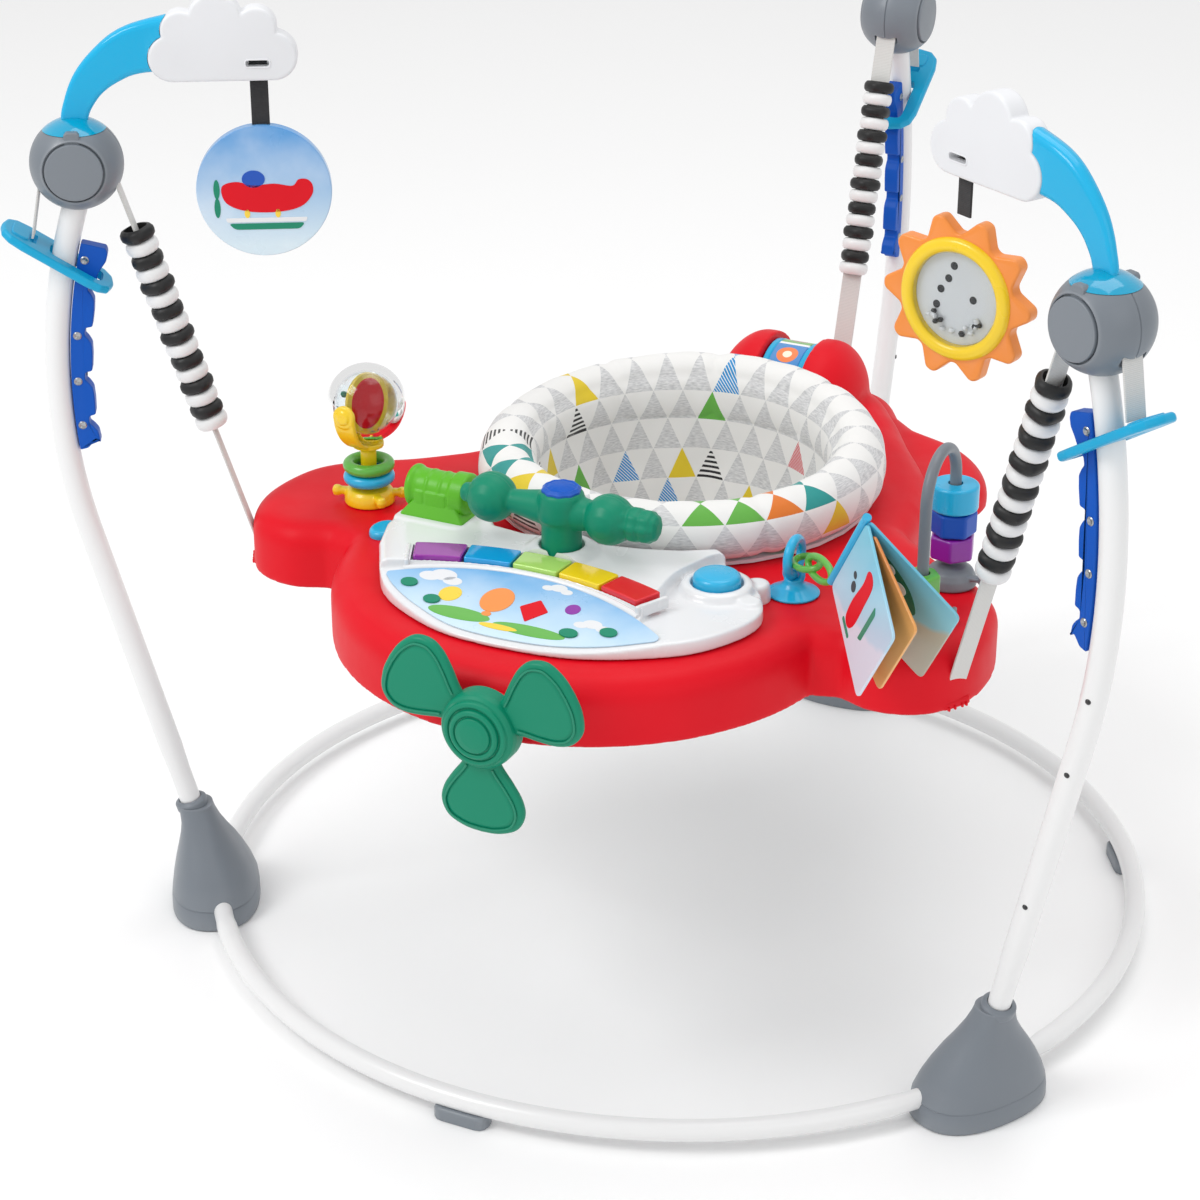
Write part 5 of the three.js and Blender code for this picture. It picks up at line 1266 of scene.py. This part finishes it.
def ring_toy():
    """A cyan cup with an eye, a loose ring through it, and two green links that run to the book."""
    cup = lathe([(0, DECK), (20.4, DECK), (20.6, 380), (17, 381.6), (11, 384.6), (8, 388), (7, 391.5),
                 (0, 392.5)], 48)
    loop = [(x, 0, EYE_Z + z) for x, z in circle(7, 32)]
    eye = sweep(loop, circle(2.6, 14), (0, 1, 0), True)
    stand = melt(new_object("cup", merge(cup, eye), at=(LOOP_X, LOOP_Y, 0)), 0.8, 3)
    piece(stand, CYAN, "tray", "toy_cyan", "ring_toy_cup", sharp=0)
    path = [(0, y, EYE_Z + RING_TOY_R + z) for y, z in circle(RING_TOY_R, 56)]
    ring = sweep(path, circle(3.8, 20), (1, 0, 0), True)
    add("loose_ring_toy", ring, CYAN, "ring_toy", "toy_cyan", "ring_toy_ring",
        at=(LOOP_X, LOOP_Y, 0), sharp=50)
    links = []
    for start, end, roll in (((4, 0, 408), (25, -20, 414), 20), ((20, -18, 416), (44, -39, 418), 80)):
        start, end = np.array(start, float), np.array(end, float)
        along, centre = end - start, (start + end) / 2
        half = np.linalg.norm(along) / 2 + 3
        heading, rise = atan2(along[1], along[0]), asin(along[2] / np.linalg.norm(along))
        link = [(half * x, 8 * y, 0) for x, y in circle(1, 56)]
        loop = moved(sweep(link, circle(2.7, 14), (0, 0, 1), True), spin="x", angle=roll)
        loop = moved(loop, spin="y", angle=-degrees(rise))
        links.append(moved(moved(loop, spin="z", angle=degrees(heading)), centre))
    add("links", merge(*links), GREEN, "tray", "toy_lime", at=(LOOP_X, LOOP_Y, 0), sharp=50)


def page(turn, start, width):
    """One board of the book, from start to width away from the spine, turned about it."""
    outline = soften([(0, -start), (BOOK_LENGTH, -start), (BOOK_LENGTH, -width), (0, -width)], 6, 5)
    return moved(plate(outline, BOOK_BOARD, 0.7), spin="x", angle=turn)


def page_print(turn, outline, depth=0.4):
    """A thin printed shape on the front face of a board."""
    y = -(BOOK_BOARD / 2 + depth * 0.3)
    return moved(plate(outline, depth, 0.1, y, 2), spin="x", angle=turn)


def place_book(shape):
    """From the book's own frame, where the spine runs along +X, to the tray."""
    rolled = moved(shape, spin="x", angle=BOOK_ROLL)
    risen = moved(rolled, spin="y", angle=-BOOK_RISE)
    return moved(moved(risen, spin="z", angle=BOOK_HEADING), BOOK_AT)


def board_print(name, deep, pale, ground):
    """A printed board: a plain ground at its foot, then pale at the bottom to deep at the top."""
    look = Look(name, Coat_Weight=0.3, Coat_Roughness=0.1)
    spot = look.node("SeparateXYZ", look.place())
    height, drift = spot.outputs[2], look.times(look.noise(18, 2.0), 0.03)
    level = look.plus(height, drift)
    sky = look.mix(look.span(level, 0.40, 0.50), rgb(*pale), rgb(*deep))
    foot = look.span(level, 0.424, 0.428)
    look.colour(look.mix(foot, rgb(*ground), sky))
    look.rough(0.36, 0.04)
    look.bump(look.noise(900), 0.04, 0.1)
    return look.material


def book():
    """Three printed boards fanned from one spine; the front cover turns, the rest is fixed to the tray."""
    pale = board_print("board_pale", (112, 196, 220), (206, 222, 238), (214, 222, 236))
    sand = board_print("board_sand", (214, 128, 60), (240, 184, 104), (232, 172, 100))
    aqua = board_print("board_aqua", (84, 176, 208), (140, 196, 206), (176, 176, 160))
    parts = (("board_back", aqua, "tray", "toy_sky", page(BACK_TURN, 2, BOOK_WIDTH), "book_back"),
             ("board_middle", sand, "tray", "toy_orange", page(MIDDLE_TURN, 14, BOOK_WIDTH - 4), None),
             ("board_cover", pale, "book_cover", "toy_sky", page(0, 4, BOOK_WIDTH), "book_cover"))
    for name, look, body, slot, shape, node in parts:
        add(name, place_book(shape), look, body, slot, *([node] if node else []))
    spine = [(x, 0, 0) for x in np.linspace(-1, BOOK_LENGTH + 1, 8)]
    add("board_spine", place_book(sweep(spine, circle(3.4, 20), (0, 1, 0))), CYAN, "tray", "toy_cyan")
    tapes = [moved(plate([(x, -15), (x + 9, -15), (x + 9, 0), (x, 0)], 0.8, 0.2), spin="x", angle=MIDDLE_TURN)
             for x in (12, 40, 68)]
    add("board_tapes", place_book(merge(*tapes)), BEZEL, "tray", "bezel_white")
    hull = smooth([(12, -44), (16, -38), (34, -36), (58, -38), (72, -36), (77, -42), (72, -50),
                   (50, -52), (28, -53),
                   (16, -50)], 5, True)
    prints = [
        ("cover_shape", RED, "book_cover", 0, [hull]),
        ("cover_float", TEAL, "book_cover", 0, [soften([(26, -64), (70, -64), (66, -69), (30, -69)], 2),
                                                soften([(7, -36), (11, -36), (11, -54), (7, -54)], 1.8)]),
        ("cover_dots", INK, "book_cover", 0, [ellipse(40, -29, 5, 4), ellipse(48, -24, 3, 3)]),
        ("page_shape", plastic("print_brown", (150, 62, 30), 0.4, edge_lift=0.0), "tray", MIDDLE_TURN,
         [ellipse(40, -48, 14, 10), ellipse(30, -64, 8, 6), ellipse(24, -80, 7, 3)]),
        ("back_shape", plastic("print_green", (14, 108, 84), 0.4, edge_lift=0.0), "tray", BACK_TURN,
         [smooth([(52, -8), (72, -14), (74, -34), (66, -58), (50, -70), (44, -50), (42, -24)], 5, True)]),
        ("back_spots", BEZEL, "tray", BACK_TURN, [ellipse(60, -50, 5, 6), ellipse(68, -36, 4, 5)]),
    ]
    for name, look, body, turn, outlines in prints:
        lift = 0.9 if look is BEZEL else 0.4
        shapes = [page_print(turn, outline, lift) for outline in outlines]
        add(name, place_book(merge(*shapes)), look, body, "toy_sky")


# ---------------------------------------------------------------- seat
ROLL_R, ROLL_Z, ROLL_FLOOR, ROLL_HEIGHT, ROLL_OUTER, BACK_LIFT = 144, 404, 382.5, 43, 168, 20
LEG_R, LEG_Z, LEG_TURN, BAG_FLOOR_R = 38, 260, 32, 62


def inflate(obj, pressure=4.0, cap=5.0, frames=20):
    """Fills a closed cloth skin with air for a moment; no point moves further than cap (millimetres)."""
    before = np.array([v.co for v in obj.data.vertices], float)
    cloth = obj.modifiers.new("cloth", "CLOTH")
    cloth.settings.use_pressure = True
    cloth.settings.uniform_pressure_force = pressure
    cloth.settings.effector_weights.gravity = 0
    cloth.point_cache.frame_start, cloth.point_cache.frame_end = 1, frames
    scene = bpy.context.scene
    for step in range(1, frames + 1):
        scene.frame_set(step)
    apply(obj)
    scene.frame_set(1)
    after = np.array([v.co for v in obj.data.vertices], float)
    shift = after - before
    far = np.linalg.norm(shift, axis=1)[:, None]
    shift *= np.minimum(1, cap * MM / np.maximum(far, 1e-9))
    obj.data.vertices.foreach_set("co", (before + shift).ravel())
    obj.data.update()
    return obj


def stitch(obj, seams, depth=2.4, width=4.0):
    """Draws the skin in along radial seams of the roll (in degrees), and along one seam round its inside."""
    points = np.array([v.co for v in obj.data.vertices], float) / MM
    x, y = points[:, 0], points[:, 1] - CENTRE_Y / MM
    radius, turn = np.hypot(x, y), np.degrees(np.arctan2(y, x))
    pull = np.zeros(len(points))
    for seam in seams:
        off = (turn - seam + 180) % 360 - 180
        pull += np.exp(-((np.radians(off) * radius) / width) ** 2)
    pull += 0.7 * np.exp(-((radius - 126) / 2.6) ** 2) * (points[:, 2] > ROLL_Z + 6)
    wrinkle = 0.5 * np.sin(np.radians(turn) * 23 + 0.05 * points[:, 2]) * np.sin(np.radians(turn) * 7 + 1.0)
    normals = np.array([v.normal for v in obj.data.vertices], float)
    points -= normals * (depth * np.minimum(pull, 1)
                         + wrinkle * np.clip((points[:, 2] - ROLL_FLOOR) / 12, 0, 1))[:, None]
    obj.data.vertices.foreach_set("co", (points * MM).ravel())
    obj.data.update()


def cushion():
    """The padded roll round the opening, highest behind the back, filled by a short cloth simulation."""
    loop = [(129, 383.5), (145, 382.8), (159, 383.6), (166.5, 391), (168.5, 403), (164.5, 416), (153, 424.6),
            (138.5, 425),
            (126, 417.5), (120.8, 406), (120.8, 392)]
    profile = [tuple(p) for p in smooth(loop, 5, True)]
    points, faces = lathe([*profile, profile[0]], 120)
    points = np.array(points)
    behind = (1 + points[:, 1] / ROLL_OUTER) / 2
    points[:, 2] += BACK_LIFT * np.clip((points[:, 2] - ROLL_FLOOR) / ROLL_HEIGHT, 0, 1.1) * behind ** 2
    roll = new_object("seat_roll", (points, faces))
    melt(roll, 4.5, 2)
    inflate(roll)
    stitch(roll, (15, 60, 102, 140, 180, 222, 268, 318))
    roll.modifiers.new("ease", "SUBSURF").levels = 1
    roll.modifiers["ease"].render_levels = 1
    apply(roll)

    def over_roll(look, radius, z):
        out = look.minus(radius, ROLL_R * MM)
        angle = look.math("ARCTAN2", out, look.minus(z, ROLL_Z * MM))
        return look.times(look.math("ABSOLUTE", angle), 26 * MM)

    piece(roll, seat_print("print_roll", over_roll), "seat", "seat_fabric", "seat_cushion", sharp=0,
          weighted=False)


def bucket_radius(z):
    return np.interp(z, [214, 222, 254, 304, 350, 398], [0, BAG_FLOOR_R, 92, 114, 121, 123.5])


def sling():
    """The cloth bucket under the roll, with two bound leg openings."""
    heights = np.concatenate([[216, 217, 219], np.linspace(222, 398, 44)])
    turns = np.linspace(0, 2 * pi, 144, endpoint=False)
    rings = []
    for z in heights:
        slack = np.clip((384 - z) / 40, 0, 1) * np.clip((z - 214) / 30, 0, 1)
        folds = 1.6 * np.sin(turns * 9 + z * 0.03) + 1.1 * np.sin(turns * 17 - z * 0.05)
        r = bucket_radius(z) + slack * folds
        rings.append(np.stack([r * np.cos(turns), r * np.sin(turns), np.full(len(turns), z)], axis=1))
    points, faces = stack(rings)
    bag = new_object("seat_bag", (points, faces[:-1]))
    wall = bag.modifiers.new("wall", "SOLIDIFY")
    wall.thickness, wall.offset = 2.2 * MM, 0
    apply(bag)
    tools, bindings = [], []
    for side in (-1, 1):
        leg = rod([(0, 0), (LEG_R, 0), (LEG_R, 130), (0, 130)], 48)
        tools.append(new_object("leg", moved(leg, (side * 8, -20, LEG_Z), "z", side * LEG_TURN)))
        c, s = cos(radians(side * LEG_TURN)), sin(radians(side * LEG_TURN))
        edge = []
        for across, up in circle(LEG_R, 60):
            z = LEG_Z + up
            out = sqrt(max(float(bucket_radius(z)) ** 2 - across ** 2, 1))
            edge.append((across * c + out * s, across * s - out * c, z))
        bindings.append(sweep(edge, circle(2.4, 10), (s, -c, 0), True))
    boolean(bag, *tools)

    def down_wall(look, radius, z):
        across_floor = look.math("MAXIMUM", look.minus(BAG_FLOOR_R * MM, radius), 0.0)
        return look.plus(look.minus((ROLL_Z + 41) * MM, z), across_floor)

    piece(bag, seat_print("print_bag", down_wall), "seat", "seat_fabric", "seat_sling", sharp=60,
          weighted=False)
    binding = new_object("seat_binding", merge(*bindings))
    piece(binding, webbing("webbing_binding", (214, 214, 212)), "seat", "seat_fabric", sharp=0)


# ---------------------------------------------------------------- floor, light and camera
def studio():
    """A near-white floor and world, a key light from the left, a weak fill and a light from above."""
    floor_look = Look("floor", Roughness=0.6)
    floor_look.colour(floor_look.mix(floor_look.noise(0.8), rgb(252, 252, 252), rgb(254, 254, 254)))
    bpy.ops.mesh.primitive_plane_add(size=30)
    floor = bpy.context.object
    floor.name = "studio_floor"
    floor.data.materials.append(floor_look.material)
    world = bpy.data.worlds.new("studio")
    bpy.context.scene.world = world
    world.use_nodes = True
    world.node_tree.nodes["Background"].inputs[0].default_value = (1, 1, 1, 1)
    world.node_tree.nodes["Background"].inputs[1].default_value = 0.77
    for name, at, aim, size, power in (("key", (-1.6, -2.2, 3.0), (0, 0, 0.3), 1.4, 44),
                                       ("fill", (2.6, -1.6, 2.0), (0, 0, 0.3), 2.0, 8),
                                       ("top", (0.2, 0.6, 3.4), (0, 0, 0), 2.0, 22)):
        light = bpy.data.objects.new(name, bpy.data.lights.new(name, "AREA"))
        light.data.energy, light.data.size = power, size
        light.location = at
        light.rotation_euler = (Vector(aim) - Vector(at)).to_track_quat("-Z", "Y").to_euler()
        bpy.context.scene.collection.objects.link(light)
    bpy.context.scene.view_settings.view_transform = "Standard"


def camera():
    """The photograph's viewpoint, in metres."""
    data = bpy.data.cameras.new("camera")
    data.lens, data.sensor_width = LENS, 36
    shot = bpy.data.objects.new("camera", data)
    bpy.context.scene.collection.objects.link(shot)
    shot.location = EYE_AT
    shot.rotation_euler = (Vector(EYE_AIM) - shot.location).to_track_quat("-Z", "Y").to_euler()
    bpy.context.scene.camera = shot


camera()
studio()
for build in (base_tubes, feet, posts, racks, paddles, heads, straps, sleeves, arms, clouds, toy_straps,
              picture_disc,
              sun_toy, tray_shell, console, dash_picture, keys, button, yoke, lever, drum, propeller, spinner,
              bead_arch, ring_toy, book, cushion, sling):
    build()
